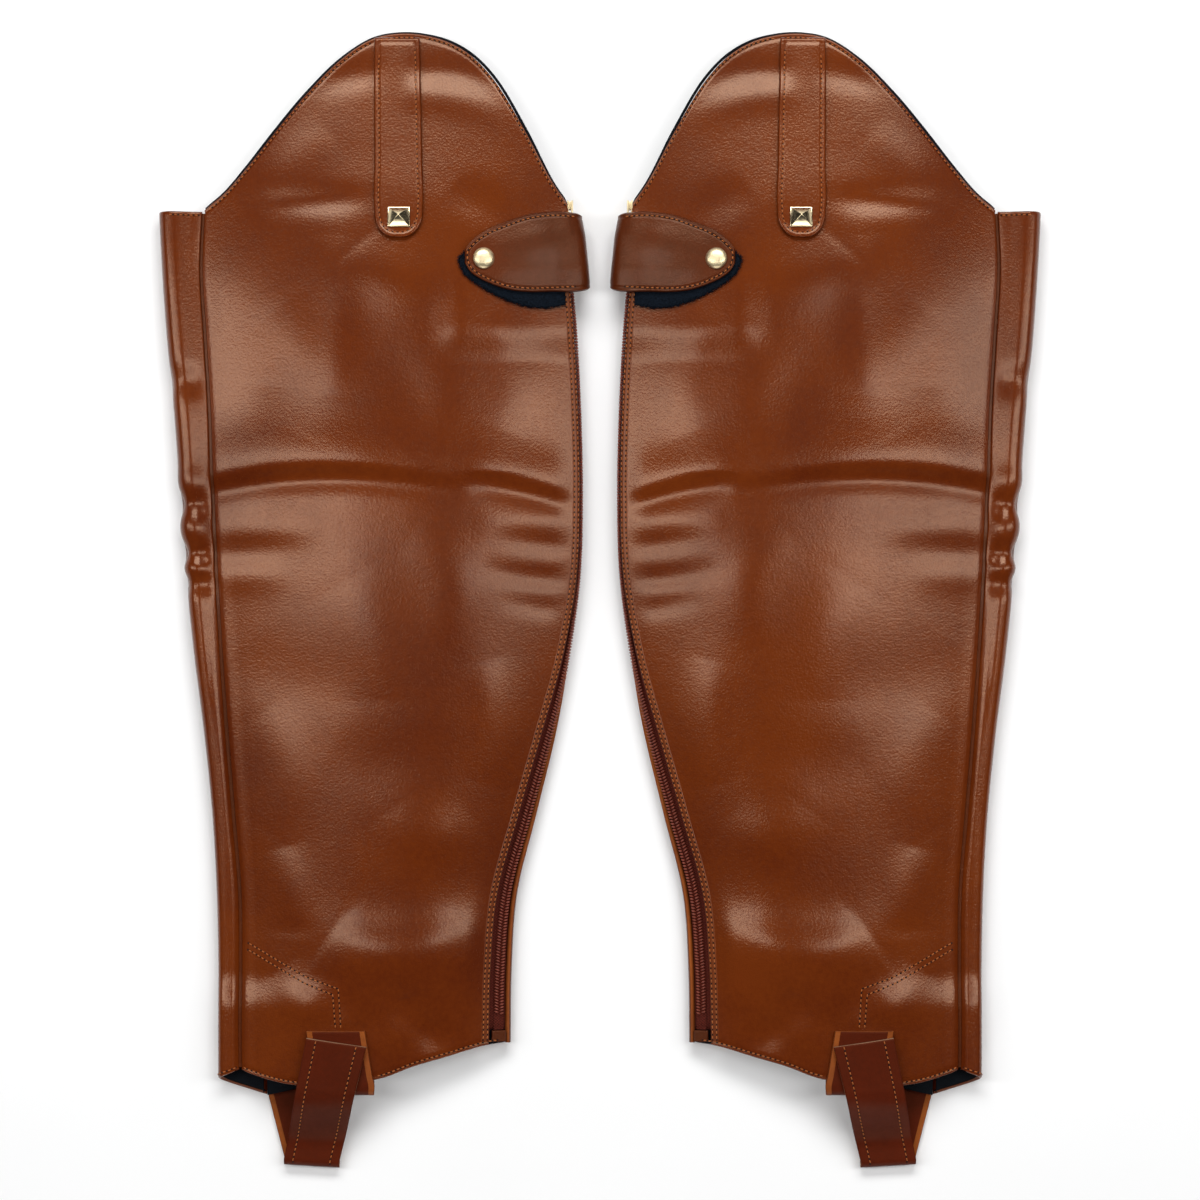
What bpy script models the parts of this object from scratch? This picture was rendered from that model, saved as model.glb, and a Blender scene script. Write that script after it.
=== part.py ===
"""A pair of leather gaiters, laid flat side by side on their inner panels.

Each gaiter is a flattened leather tube. Sizes below are in millimetres and are given for one gaiter:
x is the distance out from the middle of the pair, y runs up the leg and z is the height above the floor.
The other gaiter is the mirror image. The meshes are in metres.
"""

import math
from collections import namedtuple

import bmesh
import bpy
import numpy as np
from mathutils import Matrix, Vector

MM = 0.001

# Walls and gaps
LEATHER = 2.0
STRAP_LEATHER = 1.6
FOOT_LEATHER = 1.8
LOOP_LEATHER = 2.0
FELT = 1.0
LINING = 1.0
TAPE = 1.0
SEAM_GAP = 0.3
LAID_GAP = 0.45

# The tube's sections, from the open hem up to the tip of the Spanish top.
# front: the fold at the shin, seam: front band to outer panel, crown: highest line of the outer panel,
# back: the fold at the zip, zip_turn: how far round that fold the zip lies towards the upper side.
Section = namedtuple("Section", "y front_x front_r under_x seam_x seam_z crown_z back_x back_r zip_turn")
SECTIONS = (
    Section(-235, 171.9, 4.6, 149.5, 161.5, 6.5, 14.0, 41.0, 4.2, 7.4),
    Section(-200, 172.0, 4.6, 150.5, 162.0, 6.6, 16.5, 40.3, 4.2, 7.4),
    Section(-165, 172.1, 4.6, 151.3, 162.0, 6.6, 19.0, 39.8, 4.2, 7.3),
    Section(-132, 172.8, 4.7, 152.3, 162.3, 6.8, 20.0, 37.4, 4.4, 6.9),
    Section(-96, 174.8, 4.9, 154.0, 165.1, 7.0, 21.0, 28.7, 4.7, 6.0),
    Section(-60, 178.4, 5.2, 156.5, 168.0, 7.5, 22.0, 20.0, 5.1, 4.5),
    Section(-24, 182.9, 5.6, 159.5, 170.6, 8.0, 23.0, 13.0, 5.5, 1.6),
    Section(12, 186.6, 6.0, 162.5, 172.7, 8.4, 24.0, 8.2, 5.8, 0.3),
    Section(48, 189.1, 6.3, 165.0, 174.3, 8.7, 24.5, 7.2, 6.0, 0.0),
    Section(84, 191.8, 6.5, 167.5, 175.8, 9.0, 25.0, 7.9, 6.0, 0.0),
    Section(120, 195.2, 6.5, 169.5, 177.9, 9.0, 24.0, 9.7, 6.0, 0.0),
    Section(150, 197.3, 6.4, 171.0, 179.6, 8.8, 22.5, 12.0, 6.0, 0.0),
    Section(176, 198.6, 6.0, 172.0, 178.6, 8.5, 20.0, 12.3, 6.0, 0.0),
    Section(204, 198.6, 6.0, 172.0, 178.0, 7.6, 15.5, 12.3, 5.2, 0.0),
    Section(230, 198.6, 6.0, 172.0, 178.0, 6.6, 11.5, 12.3, 4.2, 0.0),
    Section(260, 198.6, 6.0, 172.0, 178.0, 5.6, 7.5, 12.3, 3.4, 0.0),
)
CROWN_POWER = 2.6
ROLL_START = math.radians(62)
TOP_SAMPLES = 90
LOWER_TURN_SAMPLES = 16
UPPER_TURN_SAMPLES = 12
FLOOR_SAMPLES = 40

# Cut edges
BAND_TOP_Y = 175.4
INNER_TOP_Y = 177.0
BAND_HEM_UNDER_Y = -222.5
BAND_HEM_SEAM_Y = -210.6
EdgePoint = namedtuple("EdgePoint", "x y")
SPANISH_TOP = (
    EdgePoint(13.5, 177.5),
    EdgePoint(20.3, 187.0),
    EdgePoint(32.9, 211.3),
    EdgePoint(45.5, 232.9),
    EdgePoint(54.9, 243.7),
    EdgePoint(66.6, 251.4),
    EdgePoint(79.0, 255.2),
    EdgePoint(91.0, 255.8),
    EdgePoint(101.3, 253.8),
    EdgePoint(116.5, 244.2),
    EdgePoint(132.8, 227.8),
    EdgePoint(146.3, 211.3),
    EdgePoint(158.8, 195.3),
    EdgePoint(168.0, 184.6),
    EdgePoint(178.5, 175.8),
)
OUTER_HEM = (
    EdgePoint(40.0, -198.4),
    EdgePoint(50.4, -199.3),
    EdgePoint(68.0, -204.0),
    EdgePoint(84.6, -208.8),
    EdgePoint(95.0, -212.8),
    EdgePoint(115.0, -215.8),
    EdgePoint(137.3, -216.8),
    EdgePoint(153.0, -213.6),
    EdgePoint(162.0, -210.4),
)
INNER_HEM = (
    EdgePoint(41.0, -198.6),
    EdgePoint(70.0, -203.4),
    EdgePoint(99.0, -209.4),
    EdgePoint(117.0, -213.8),
    EdgePoint(136.8, -219.4),
    EdgePoint(150.2, -222.5),
)

# The folds of the outer panel, each an arc through three points. A negative depth is a ridge.
Fold = namedtuple("Fold", "x0 y0 x1 y1 x2 y2 depth width")
FOLDS = (
    Fold(171, 50, 117, 56, 69, 50, 3.6, 5.5),
    Fold(168, 60, 119, 66, 72, 62, -1.8, 7.0),
    Fold(55, 54, 36, 46, 20, 48, 3.0, 5.0),
    Fold(70, 61, 48, 62, 24, 58, -1.2, 6.0),
    Fold(171, 22, 155, 23, 137, 24, 2.8, 5.0),
    Fold(168, 34, 150, 35, 128, 36, -1.4, 6.0),
    Fold(20, 24, 30, 25, 42, 27, 1.6, 4.5),
    Fold(20, 10, 32, 11, 50, 14, 2.0, 4.5),
    Fold(20, -2, 30, -1, 42, 1, 1.6, 4.5),
    Fold(150, 179, 128, 179, 106, 179, 1.2, 5.0),
    Fold(118, 160, 119, 130, 117, 97, -1.6, 9.0),
    Fold(152, 184, 137, 197, 121, 210, -1.4, 8.0),
    Fold(112, 240, 90, 242, 54, 239, 1.2, 8.0),
    Fold(106, -170, 94, -166, 82, -163, 1.8, 12.0),
)

# Gathers pulled into the front band, by their height up the leg.
Gather = namedtuple("Gather", "y depth width")
GATHERS = (
    Gather(99, 1.0, 5.0),
    Gather(52, -0.8, 4.0),
    Gather(44, 1.8, 4.0),
    Gather(33, -1.2, 5.0),
    Gather(22, 2.0, 4.0),
    Gather(15, -1.0, 3.5),
    Gather(8, 1.6, 3.5),
)

# Where the tube lies on a strap, not on the floor.
Lift = namedtuple("Lift", "x_from x_to y_from y_to height")
LIFTS = (
    Lift(-20, 60, 124, 400, STRAP_LEATHER + SEAM_GAP),
    Lift(106, 240, -400, -184, FOOT_LEATHER + SEAM_GAP),
)
LIFT_SHOULDER = 18.0
ZIP_CLEARANCE = 1.0
FOLD_FADE = 12.0
FOLD_POINTS = 9

# Zip
ZIP_HALF = 4.9
TAPE_TAIL = 3.0
TAPE_DEPTH = LEATHER + LAID_GAP
TAPE_GAP_HALF = 0.75
COIL_HALF = 2.5
COIL_DEPTH = 0.2
COIL_THICK = 1.8
TAPE_TOP_Y = 168.3
TAPE_BOTTOM_Y = -192.7
COIL_BOTTOM_Y = -185.6
END_TAB_TOP_Y = -193.0
END_TAB_BOTTOM_Y = -198.0
END_TAB_DEPTH = 0.4
END_TAB_HALF = 3.3
END_TAB_COLUMNS = 4
END_TAB_ROWS = 2
SLIDER_OUT_X = 12.15
SLIDER_PLATE = 0.8
SLIDER_DEEP = 2.65
SLIDER_BOTTOM_Y = 168.6
SLIDER_TOP_Y = 180.2
SLIDER_POST_Y = 176.2
SLIDER_HALF_Z = 2.9
POST_INSET_Y = 0.5
POST_INSET_Z = 1.0
LUG_X = 10.35
LUG_Y = 170.6
LUG_HALF = 0.8
PULL_X = 11.1
PULL_THICK = 1.0
PULL_HALF_Z = 2.2
PULL_TOP = 1.9
PULL_LENGTH = 25.5
PULL_EYE_HALF = 1.2
PULL_CORNER = 1.2

# Straps: the width of each at a few places along it
STRAP_COLUMNS = 4
TONGUE_COLUMNS = 5
LoopRow = namedtuple("LoopRow", "y x_low x_high")
LOOP_STRAP = (
    LoopRow(162.0, 87.6, 92.4),
    LoopRow(163.2, 84.2, 95.8),
    LoopRow(166.0, 81.2, 98.6),
    LoopRow(170.0, 79.4, 100.2),
    LoopRow(176.0, 78.9, 100.8),
    LoopRow(196.0, 79.4, 100.9),
    LoopRow(216.0, 79.9, 101.2),
    LoopRow(236.0, 80.5, 101.4),
    LoopRow(253.4, 81.0, 101.4),
)
LOOP_INSET = 0.6
STUD_X = 89.6
STUD_Y = 171.0
STUD_WIDE = 10.0
STUD_LONG = 9.0
STUD_HIGH = 3.6
STUD_BASE = 0.8
STUD_TIP = 0.5

TongueRow = namedtuple("TongueRow", "x upper_y lower_y")
SNAP_STRAP = (
    TongueRow(22.0, 174.3, 138.4),
    TongueRow(32.0, 172.7, 137.9),
    TongueRow(42.0, 169.1, 138.9),
    TongueRow(50.0, 165.6, 141.7),
    TongueRow(55.0, 162.4, 144.3),
    TongueRow(58.6, 159.0, 147.3),
    TongueRow(60.3, 156.6, 150.5),
)
FELT_PATCH = (
    TongueRow(16.0, 168.5, 133.0),
    TongueRow(23.0, 168.2, 131.6),
    TongueRow(31.0, 167.2, 131.6),
    TongueRow(41.0, 164.4, 134.3),
    TongueRow(51.3, 160.2, 139.3),
    TongueRow(57.0, 157.2, 143.0),
    TongueRow(60.8, 155.0, 146.8),
    TongueRow(62.3, 153.6, 149.6),
)
FOLD_JOIN_X = 18.0
FOLD_FULLNESS = 0.7
SNAP_TAIL_X = 43.0
FoldEdge = namedtuple("FoldEdge", "y x")
SNAP_FOLD_X = (
    FoldEdge(143.0, 4.5),
    FoldEdge(155.0, 5.9),
    FoldEdge(163.0, 6.7),
    FoldEdge(173.0, 8.1),
)
SNAP_TAIL_UPPER_Y = 173.0
SNAP_TAIL_LOWER_Y = 143.0
CAP_X = 52.2
CAP_Y = 152.5
CAP_RADIUS = 4.65
CAP_HIGH = 2.2
CAP_SEGMENTS = 20
CAP_RINGS = 10

# Foot strap: left and right edge of each leg, and the short tab that it lies on
FOOT_END = ((156.6, -196.5), (130.0, -198.0))
FOOT_TURN = ((142.5, -251.3), (117.6, -252.8))
FOOT_TOP = ((131.0, -194.8), (104.2, -198.8))
FOOT_TURN_RADIUS = 1.9
FOOT_FLOOR_Z = FOOT_LEATHER / 2 + 0.02
FOOT_LOW_Y = -246.0
FOOT_HIGH_Y = -219.5
TAB_TOP = ((131.0, -191.9), (104.9, -191.9))
TAB_TURN = ((127.0, -217.9), (101.0, -217.9))
TAB_INSIDE_Y = -206.0

Finish = namedtuple("Finish", "color roughness metallic")
FINISHES = {
    "leather": Finish((0.17, 0.045, 0.014), 0.38, 0.0),
    "dark_leather": Finish((0.09, 0.02, 0.006), 0.4, 0.0),
    "strap_leather": Finish((0.11, 0.015, 0.004), 0.35, 0.0),
    "lining": Finish((0.008, 0.009, 0.013), 0.85, 0.0),
    "felt": Finish((0.01, 0.012, 0.018), 0.95, 0.0),
    "zip_tape": Finish((0.06, 0.01, 0.005), 0.8, 0.0),
    "zip_coil": Finish((0.12, 0.03, 0.015), 0.45, 0.0),
    "brass": Finish((0.72, 0.5, 0.2), 0.25, 1.0),
}


def curve_through(rows, key, value):
    """A smooth curve through one column of a table, as a function of another column."""
    at = np.array([getattr(row, key) for row in rows], float)
    to = np.array([getattr(row, value) for row in rows], float)
    slope = np.gradient(to, at)

    def read(where):
        where = np.clip(where, at[0], at[-1])
        i = np.clip(np.searchsorted(at, where) - 1, 0, len(at) - 2)
        span = at[i + 1] - at[i]
        t = (where - at[i]) / span
        low = to[i] * (1 + 2 * t) * (1 - t) ** 2 + slope[i] * span * t * (1 - t) ** 2
        high = to[i + 1] * t * t * (3 - 2 * t) - slope[i + 1] * span * t * t * (1 - t)
        return low + high

    return read


section_curves = {name: curve_through(SECTIONS, "y", name) for name in Section._fields if name != "y"}
spanish_top = curve_through(SPANISH_TOP, "x", "y")
outer_hem = curve_through(OUTER_HEM, "x", "y")
inner_hem = curve_through(INNER_HEM, "x", "y")
snap_fold_x = curve_through(SNAP_FOLD_X, "y", "x")


def section_at(y):
    return Section(y, *(float(section_curves[name](y)) for name in Section._fields[1:]))


def ease(t):
    t = np.clip(t, 0.0, 1.0)
    return t * t * (3 - 2 * t)


def lift(x, y):
    """How far a strap below raises the tube at this place."""
    total = 0.0
    for row in LIFTS:
        inside_x = ease(1 - (row.x_from - x) / LIFT_SHOULDER) * ease(1 - (x - row.x_to) / LIFT_SHOULDER)
        inside_y = ease(1 - (row.y_from - y) / LIFT_SHOULDER) * ease(1 - (y - row.y_to) / LIFT_SHOULDER)
        total = total + row.height * inside_x * inside_y
    return total


def fold_depth(x, y):
    """The depth of the outer panel's folds at this place."""
    total = 0.0
    for fold in FOLDS:
        t = np.linspace(0, 1, FOLD_POINTS)
        mid_x = 2 * fold.x1 - (fold.x0 + fold.x2) / 2
        mid_y = 2 * fold.y1 - (fold.y0 + fold.y2) / 2
        line_x = fold.x0 * (1 - t) ** 2 + 2 * mid_x * t * (1 - t) + fold.x2 * t * t
        line_y = fold.y0 * (1 - t) ** 2 + 2 * mid_y * t * (1 - t) + fold.y2 * t * t
        step_x = np.diff(line_x)
        step_y = np.diff(line_y)
        along = (x - line_x[:-1]) * step_x + (y - line_y[:-1]) * step_y
        along = np.clip(along / (step_x**2 + step_y**2), 0, 1)
        away = np.hypot(x - line_x[:-1] - along * step_x, y - line_y[:-1] - along * step_y).min()
        total += fold.depth * math.exp(-((away / fold.width) ** 2))
    return total


def gather_depth(y):
    return sum(g.depth * math.exp(-(((y - g.y) / g.width) ** 2)) for g in GATHERS)


class PanelSkin:
    """The tube's outer face from the front seam over the crown, round the zip fold and along the floor.

    u is the distance along the section from the outermost point of the zip fold, positive on the upper side.
    """

    known = {}

    def line(self, y):
        """The section at y as three arrays: u, x and z, with u rising."""
        key = round(y, 4)
        if key in self.known:
            return self.known[key]
        s = section_at(y)
        roll_x = s.back_x + s.back_r * (1 - math.cos(ROLL_START))
        roll_z = s.back_r * (1 + math.sin(ROLL_START))
        v = np.linspace(1, 0, TOP_SAMPLES)
        rise = s.crown_z - (s.seam_z + roll_z) / 2
        top_x = s.seam_x + (roll_x - s.seam_x) * v
        top_z = s.seam_z + (roll_z - s.seam_z) * v + rise * (1 - np.abs(1 - 2 * v) ** CROWN_POWER)
        lower_turn = np.linspace(-math.pi / 2, 0, LOWER_TURN_SAMPLES)
        upper_turn = np.linspace(0, ROLL_START, UPPER_TURN_SAMPLES)[1:-1]
        turn = np.concatenate([lower_turn, upper_turn])
        turn_x = s.back_x + s.back_r * (1 - np.cos(turn))
        turn_z = s.back_r * (1 + np.sin(turn))
        floor_x = np.linspace(s.under_x, s.back_x + s.back_r, FLOOR_SAMPLES)[:-1]
        x = np.concatenate([floor_x, turn_x, top_x])
        z = np.concatenate([np.zeros_like(floor_x), turn_z, top_z])
        u = np.concatenate([[0.0], np.cumsum(np.hypot(np.diff(x), np.diff(z)))])
        u -= u[len(floor_x) + LOWER_TURN_SAMPLES - 1]
        self.known[key] = (u, x, z)
        return self.known[key]

    def place(self, y, u):
        line_u, line_x, line_z = self.line(y)
        x = float(np.interp(u, line_u, line_x))
        z = float(np.interp(u, line_u, line_z))
        clear_of_zip = float(ease((u - section_curves["zip_turn"](y) - ZIP_HALF - ZIP_CLEARANCE) / FOLD_FADE))
        return Vector((x, y, z - fold_depth(x, y) * clear_of_zip + lift(x, y)))

    def normal(self, y, u, step=0.6):
        line_u = self.line(y)[0]
        low = max(u - step, line_u[0])
        high = min(u + step, line_u[-1])
        along_u = self.place(y, high) - self.place(y, low)
        along_y = self.place(y + step, u) - self.place(y - step, u)
        return along_u.cross(along_y).normalized()

    def point(self, y, u, out=0.0):
        """A point of the outer face, moved out by so much, or in where out is negative."""
        return self.place(y, u) + self.normal(y, u) * out

    def on_top(self, x, y, out):
        """The point above x, y on the outer panel, moved out."""
        line_u, line_x, _ = self.line(y)
        upper = line_u >= 0
        return self.point(y, float(np.interp(x, line_x[upper], line_u[upper])), out)

    def seam_u(self, y):
        return self.line(y)[0][-1]

    def under_u(self, y):
        return self.line(y)[0][0]


# The band's stations: the seam, a middle one, the turn round the front fold, a middle one and the lower seam
BAND_TURN = (90, 45, 0, -45, -90)
BAND_OUTWARD = (90, 90, *BAND_TURN, -90, -90)
BAND_COLUMNS = len(BAND_OUTWARD) - 1


class BandSkin:
    """The front band's outer face, from the upper seam round the front fold to the seam on the floor."""

    def stations(self, y):
        s = section_at(y)
        arc = [math.radians(a) for a in BAND_TURN]
        top_x = s.front_x - s.front_r
        points = [(s.seam_x + SEAM_GAP, s.seam_z), ((s.seam_x + top_x) / 2, (s.seam_z + 2 * s.front_r) / 2)]
        points += [(top_x + s.front_r * math.cos(a), s.front_r * (1 + math.sin(a))) for a in arc]
        points += [((s.under_x + top_x) / 2, 0.0), (s.under_x + SEAM_GAP, 0.0)]
        return points

    def outward(self, index):
        return math.radians(BAND_OUTWARD[index])

    def point(self, y, index):
        x, z = self.stations(y)[index]
        turn = self.outward(index)
        pulled_in = gather_depth(y) * (0.5 + 0.5 * math.sin(turn) if turn < 0 else 1.0)
        if index in (0, BAND_COLUMNS):
            pulled_in = 0.0
        x -= pulled_in * math.cos(turn)
        z -= pulled_in * math.sin(turn)
        return Vector((x, y, max(z, 0.0) + lift(x, y)))


panel = PanelSkin()
band = BandSkin()


def spaced(low, high, low_steps, high_steps, between):
    """Stations from low to high: given distances in from each end, and even ones between them."""
    first = [low + step for step in low_steps]
    last = [high - step for step in reversed(high_steps)]
    even = np.linspace(first[-1], last[0], between + 2)[1:-1]
    return [*first, *even, *last]


def levels(*spans):
    """Heights up the leg from spans of (from, to, cells)."""
    rows = [spans[0][0]]
    for start, stop, cells in spans:
        rows += list(np.linspace(start, stop, cells + 1)[1:])
    return rows


PANEL_CELLS_ACROSS = 16
PANEL_ZIP_STEPS = (0, 3, 6.5, 11)
PANEL_SEAM_STEPS = (0, 3, 8)
PANEL_EVEN_CELLS = PANEL_CELLS_ACROSS - 6
HEM_BASE_Y = -205
TOP_BASE_Y = 176
PANEL_LEVELS = levels((-120, -40, 4), (-40, -8, 3), (-8, 72, 13), (72, 100, 2))
HEM_CELLS = 6
TOP_CELLS = 9
PANEL_ROWS = HEM_CELLS + len(PANEL_LEVELS) - 1 + TOP_CELLS


def panel_stations(y):
    edge = float(section_curves["zip_turn"](y)) + ZIP_HALF
    return spaced(edge, panel.seam_u(y) - SEAM_GAP, PANEL_ZIP_STEPS, PANEL_SEAM_STEPS, PANEL_EVEN_CELLS)


def outer_panel_point(column, row):
    """Level rows over most of the panel, bending towards its shaped hem and top."""
    low_x = panel.place(HEM_BASE_Y, panel_stations(HEM_BASE_Y)[column]).x
    high_x = panel.place(TOP_BASE_Y, panel_stations(TOP_BASE_Y)[column]).x
    if row < HEM_CELLS:
        y = outer_hem(low_x) + (PANEL_LEVELS[0] - outer_hem(low_x)) * row / HEM_CELLS
    elif row < HEM_CELLS + len(PANEL_LEVELS):
        y = PANEL_LEVELS[row - HEM_CELLS]
    else:
        t = (row - HEM_CELLS - len(PANEL_LEVELS) + 1) / TOP_CELLS
        y = PANEL_LEVELS[-1] + (spanish_top(high_x) - PANEL_LEVELS[-1]) * t
    y = float(y)
    return panel.point(y, panel_stations(y)[column])


BAND_LEVELS = levels((0, 0.35, 7), (0.35, 0.47, 4), (0.47, 0.74, 15), (0.74, 1, 5))


def band_point(column, row):
    seam_hem = BAND_HEM_SEAM_Y + (BAND_HEM_UNDER_Y - BAND_HEM_SEAM_Y) * column / BAND_COLUMNS
    y = seam_hem + (BAND_TOP_Y - seam_hem) * BAND_LEVELS[row]
    return band.point(y, column)


INNER_COLUMNS = 14
INNER_ZIP_STEPS = (0, 1.8, 3.6, 5.6, 8, 12)
LINING_COLUMNS = 8
LINING_ROWS = 3
INNER_LEVELS = levels((0, 0.13, 5), (0.13, 0.8, 7), (0.8, 1, 5))


def inner_panel_point(column, row, out=0.0):
    def stations(y):
        edge = float(section_curves["zip_turn"](y)) - ZIP_HALF
        return spaced(panel.under_u(y), edge, (0,), INNER_ZIP_STEPS, INNER_COLUMNS - len(INNER_ZIP_STEPS))

    hem = inner_hem(panel.place(HEM_BASE_Y, stations(HEM_BASE_Y)[column]).x)
    y = float(hem + (INNER_TOP_Y - hem) * INNER_LEVELS[row])
    return panel.point(y, stations(y)[column], out)


def zip_strip(u_low, u_high, y_low, y_high, depth, columns=3, rows=24):
    """A strip that follows the zip round the fold, u counted from the zip's middle."""

    def point(column, row):
        y = y_low + (y_high - y_low) * row / rows
        turn = float(section_curves["zip_turn"](y))
        return panel.point(y, turn + u_low + (u_high - u_low) * column / columns, -depth)

    return grid_mesh(point, columns, rows)


def loop_strap_point(column, row):
    place = LOOP_STRAP[row]
    x = place.x_low + (place.x_high - place.x_low) * column / STRAP_COLUMNS
    y = min(place.y, float(spanish_top(x)) - LOOP_INSET)
    return panel.on_top(x, y, LAID_GAP + LOOP_LEATHER)


def tongue_point(rows, out):
    def point(column, row):
        place = rows[row]
        y = place.upper_y + (place.lower_y - place.upper_y) * column / TONGUE_COLUMNS
        return panel.on_top(place.x, y, out)

    return point


SNAP_OUT = LAID_GAP + FELT + SEAM_GAP + STRAP_LEATHER
SNAP_TURN = (-90, -62, -34, -8, 18, 44, 68)
TAIL_ROWS = 2
TAIL_BEND = 10


def snap_strap_point(column, row):
    """The tail on the floor, the turn round the zip and the tongue on the outer panel."""
    across = column / TONGUE_COLUMNS
    if row < TAIL_ROWS:
        y = SNAP_TAIL_UPPER_Y + (SNAP_TAIL_LOWER_Y - SNAP_TAIL_UPPER_Y) * across
        x = SNAP_TAIL_X + (FOLD_JOIN_X + TAIL_BEND - SNAP_TAIL_X) * row
        return Vector((x, y, 0.0))
    if row >= TAIL_ROWS + len(SNAP_TURN):
        return tongue_point(SNAP_STRAP, SNAP_OUT)(column, row - TAIL_ROWS - len(SNAP_TURN))
    turn = math.radians(SNAP_TURN[row - TAIL_ROWS])
    share = (math.sin(turn) + 1) / 2
    first = SNAP_STRAP[0]
    upper = SNAP_TAIL_UPPER_Y + (first.upper_y - SNAP_TAIL_UPPER_Y) * share
    lower = SNAP_TAIL_LOWER_Y + (first.lower_y - SNAP_TAIL_LOWER_Y) * share
    y = upper + (lower - upper) * across
    top_z = panel.on_top(FOLD_JOIN_X, y, SNAP_OUT).z
    reach = FOLD_JOIN_X - float(snap_fold_x(y))
    x = FOLD_JOIN_X - reach * math.cos(turn) ** FOLD_FULLNESS
    return Vector((x, y, top_z / 2 * (1 + math.sin(turn))))


def between(edge, column, columns):
    (left_x, left_y), (right_x, right_y) = edge
    t = column / columns
    return left_x + (right_x - left_x) * t, left_y + (right_y - left_y) * t


def mixed(edge_a, edge_b, t):
    return tuple((a[0] + (b[0] - a[0]) * t, a[1] + (b[1] - a[1]) * t) for a, b in zip(edge_a, edge_b))


FOOT_ON_TAB = LAID_GAP + STRAP_LEATHER + SEAM_GAP + FOOT_LEATHER / 2
FOOT_FLOOR_ROWS = 3
FOOT_TURN_ROWS = 5
FOOT_RISE_ROWS = 12
FOOT_ROWS = FOOT_FLOOR_ROWS + FOOT_TURN_ROWS + FOOT_RISE_ROWS


def foot_strap_point(column, row):
    """The middle of the strap: out along the floor, round its turn and back up over the tab."""
    if row <= FOOT_FLOOR_ROWS:
        x, y = between(mixed(FOOT_END, FOOT_TURN, row / FOOT_FLOOR_ROWS), column, STRAP_COLUMNS)
        return Vector((x, y, FOOT_FLOOR_Z))
    if row <= FOOT_FLOOR_ROWS + FOOT_TURN_ROWS:
        x, y = between(FOOT_TURN, column, STRAP_COLUMNS)
        turn = math.pi * (row - FOOT_FLOOR_ROWS) / FOOT_TURN_ROWS
        z = FOOT_FLOOR_Z + FOOT_TURN_RADIUS * (1 - math.cos(turn))
        return Vector((x, y - FOOT_TURN_RADIUS * math.sin(turn), z))
    t = (row - FOOT_FLOOR_ROWS - FOOT_TURN_ROWS) / FOOT_RISE_ROWS
    x, y = between(mixed(FOOT_TURN, FOOT_TOP, t), column, STRAP_COLUMNS)
    low = FOOT_FLOOR_Z + 2 * FOOT_TURN_RADIUS
    high = panel.on_top(x, max(y, FOOT_HIGH_Y), FOOT_ON_TAB).z
    return Vector((x, y, low + (high - low) * float(ease((y - FOOT_LOW_Y) / (FOOT_HIGH_Y - FOOT_LOW_Y)))))


TAB_LEG_ROWS = 4
TAB_TURN_ROWS = 4
TAB_INSIDE_ROWS = 2
TAB_TURN_RADIUS = LEATHER / 2 + LAID_GAP + STRAP_LEATHER / 2


def foot_tab_point(column, row):
    """The middle of the tab: down over the outer panel, round the hem's edge and a little way inside."""
    if row <= TAB_LEG_ROWS:
        x, y = between(mixed(TAB_TOP, TAB_TURN, row / TAB_LEG_ROWS), column, STRAP_COLUMNS)
        return panel.on_top(x, y, LAID_GAP + STRAP_LEATHER / 2)
    x, y = between(TAB_TURN, column, STRAP_COLUMNS)
    if row <= TAB_LEG_ROWS + TAB_TURN_ROWS:
        turn = math.pi * (row - TAB_LEG_ROWS) / TAB_TURN_ROWS
    else:
        turn = math.pi
        y += (TAB_INSIDE_Y - y) * (row - TAB_LEG_ROWS - TAB_TURN_ROWS) / TAB_INSIDE_ROWS
    middle = panel.on_top(x, y, -LEATHER / 2)
    reach = Vector((0, -math.sin(turn), math.cos(turn)))
    return middle + reach * TAB_TURN_RADIUS


def grid_mesh(point, columns, rows):
    """A grid whose corners are moved to point(column, row), in metres."""
    mesh = bmesh.new()
    bmesh.ops.create_grid(mesh, x_segments=columns, y_segments=rows, size=0.5)
    for vertex in mesh.verts:
        column = round((vertex.co.x + 0.5) * columns)
        row = round((vertex.co.y + 0.5) * rows)
        vertex.co = Vector(point(column, row)) * MM
    return mesh


def box_mesh(low, high):
    mesh = bmesh.new()
    bmesh.ops.create_cube(mesh, size=1)
    size = Vector(high) - Vector(low)
    bmesh.ops.transform(mesh, matrix=Matrix.Diagonal((*size, 1)), verts=mesh.verts)
    bmesh.ops.translate(mesh, vec=(Vector(high) + Vector(low)) / 2, verts=mesh.verts)
    bmesh.ops.scale(mesh, vec=(MM, MM, MM), verts=mesh.verts)
    return mesh


def seat(x, y, out):
    """A frame on the outer panel, its Z axis out of the surface."""
    place = panel.on_top(x, y, out)
    up = (panel.on_top(x, y, out + 1) - place).normalized()
    across = (Vector((1, 0, 0)) - up * up.x).normalized()
    turn = Matrix((across, up.cross(across), up)).transposed().to_4x4()
    return Matrix.Translation(place * MM) @ turn


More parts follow.
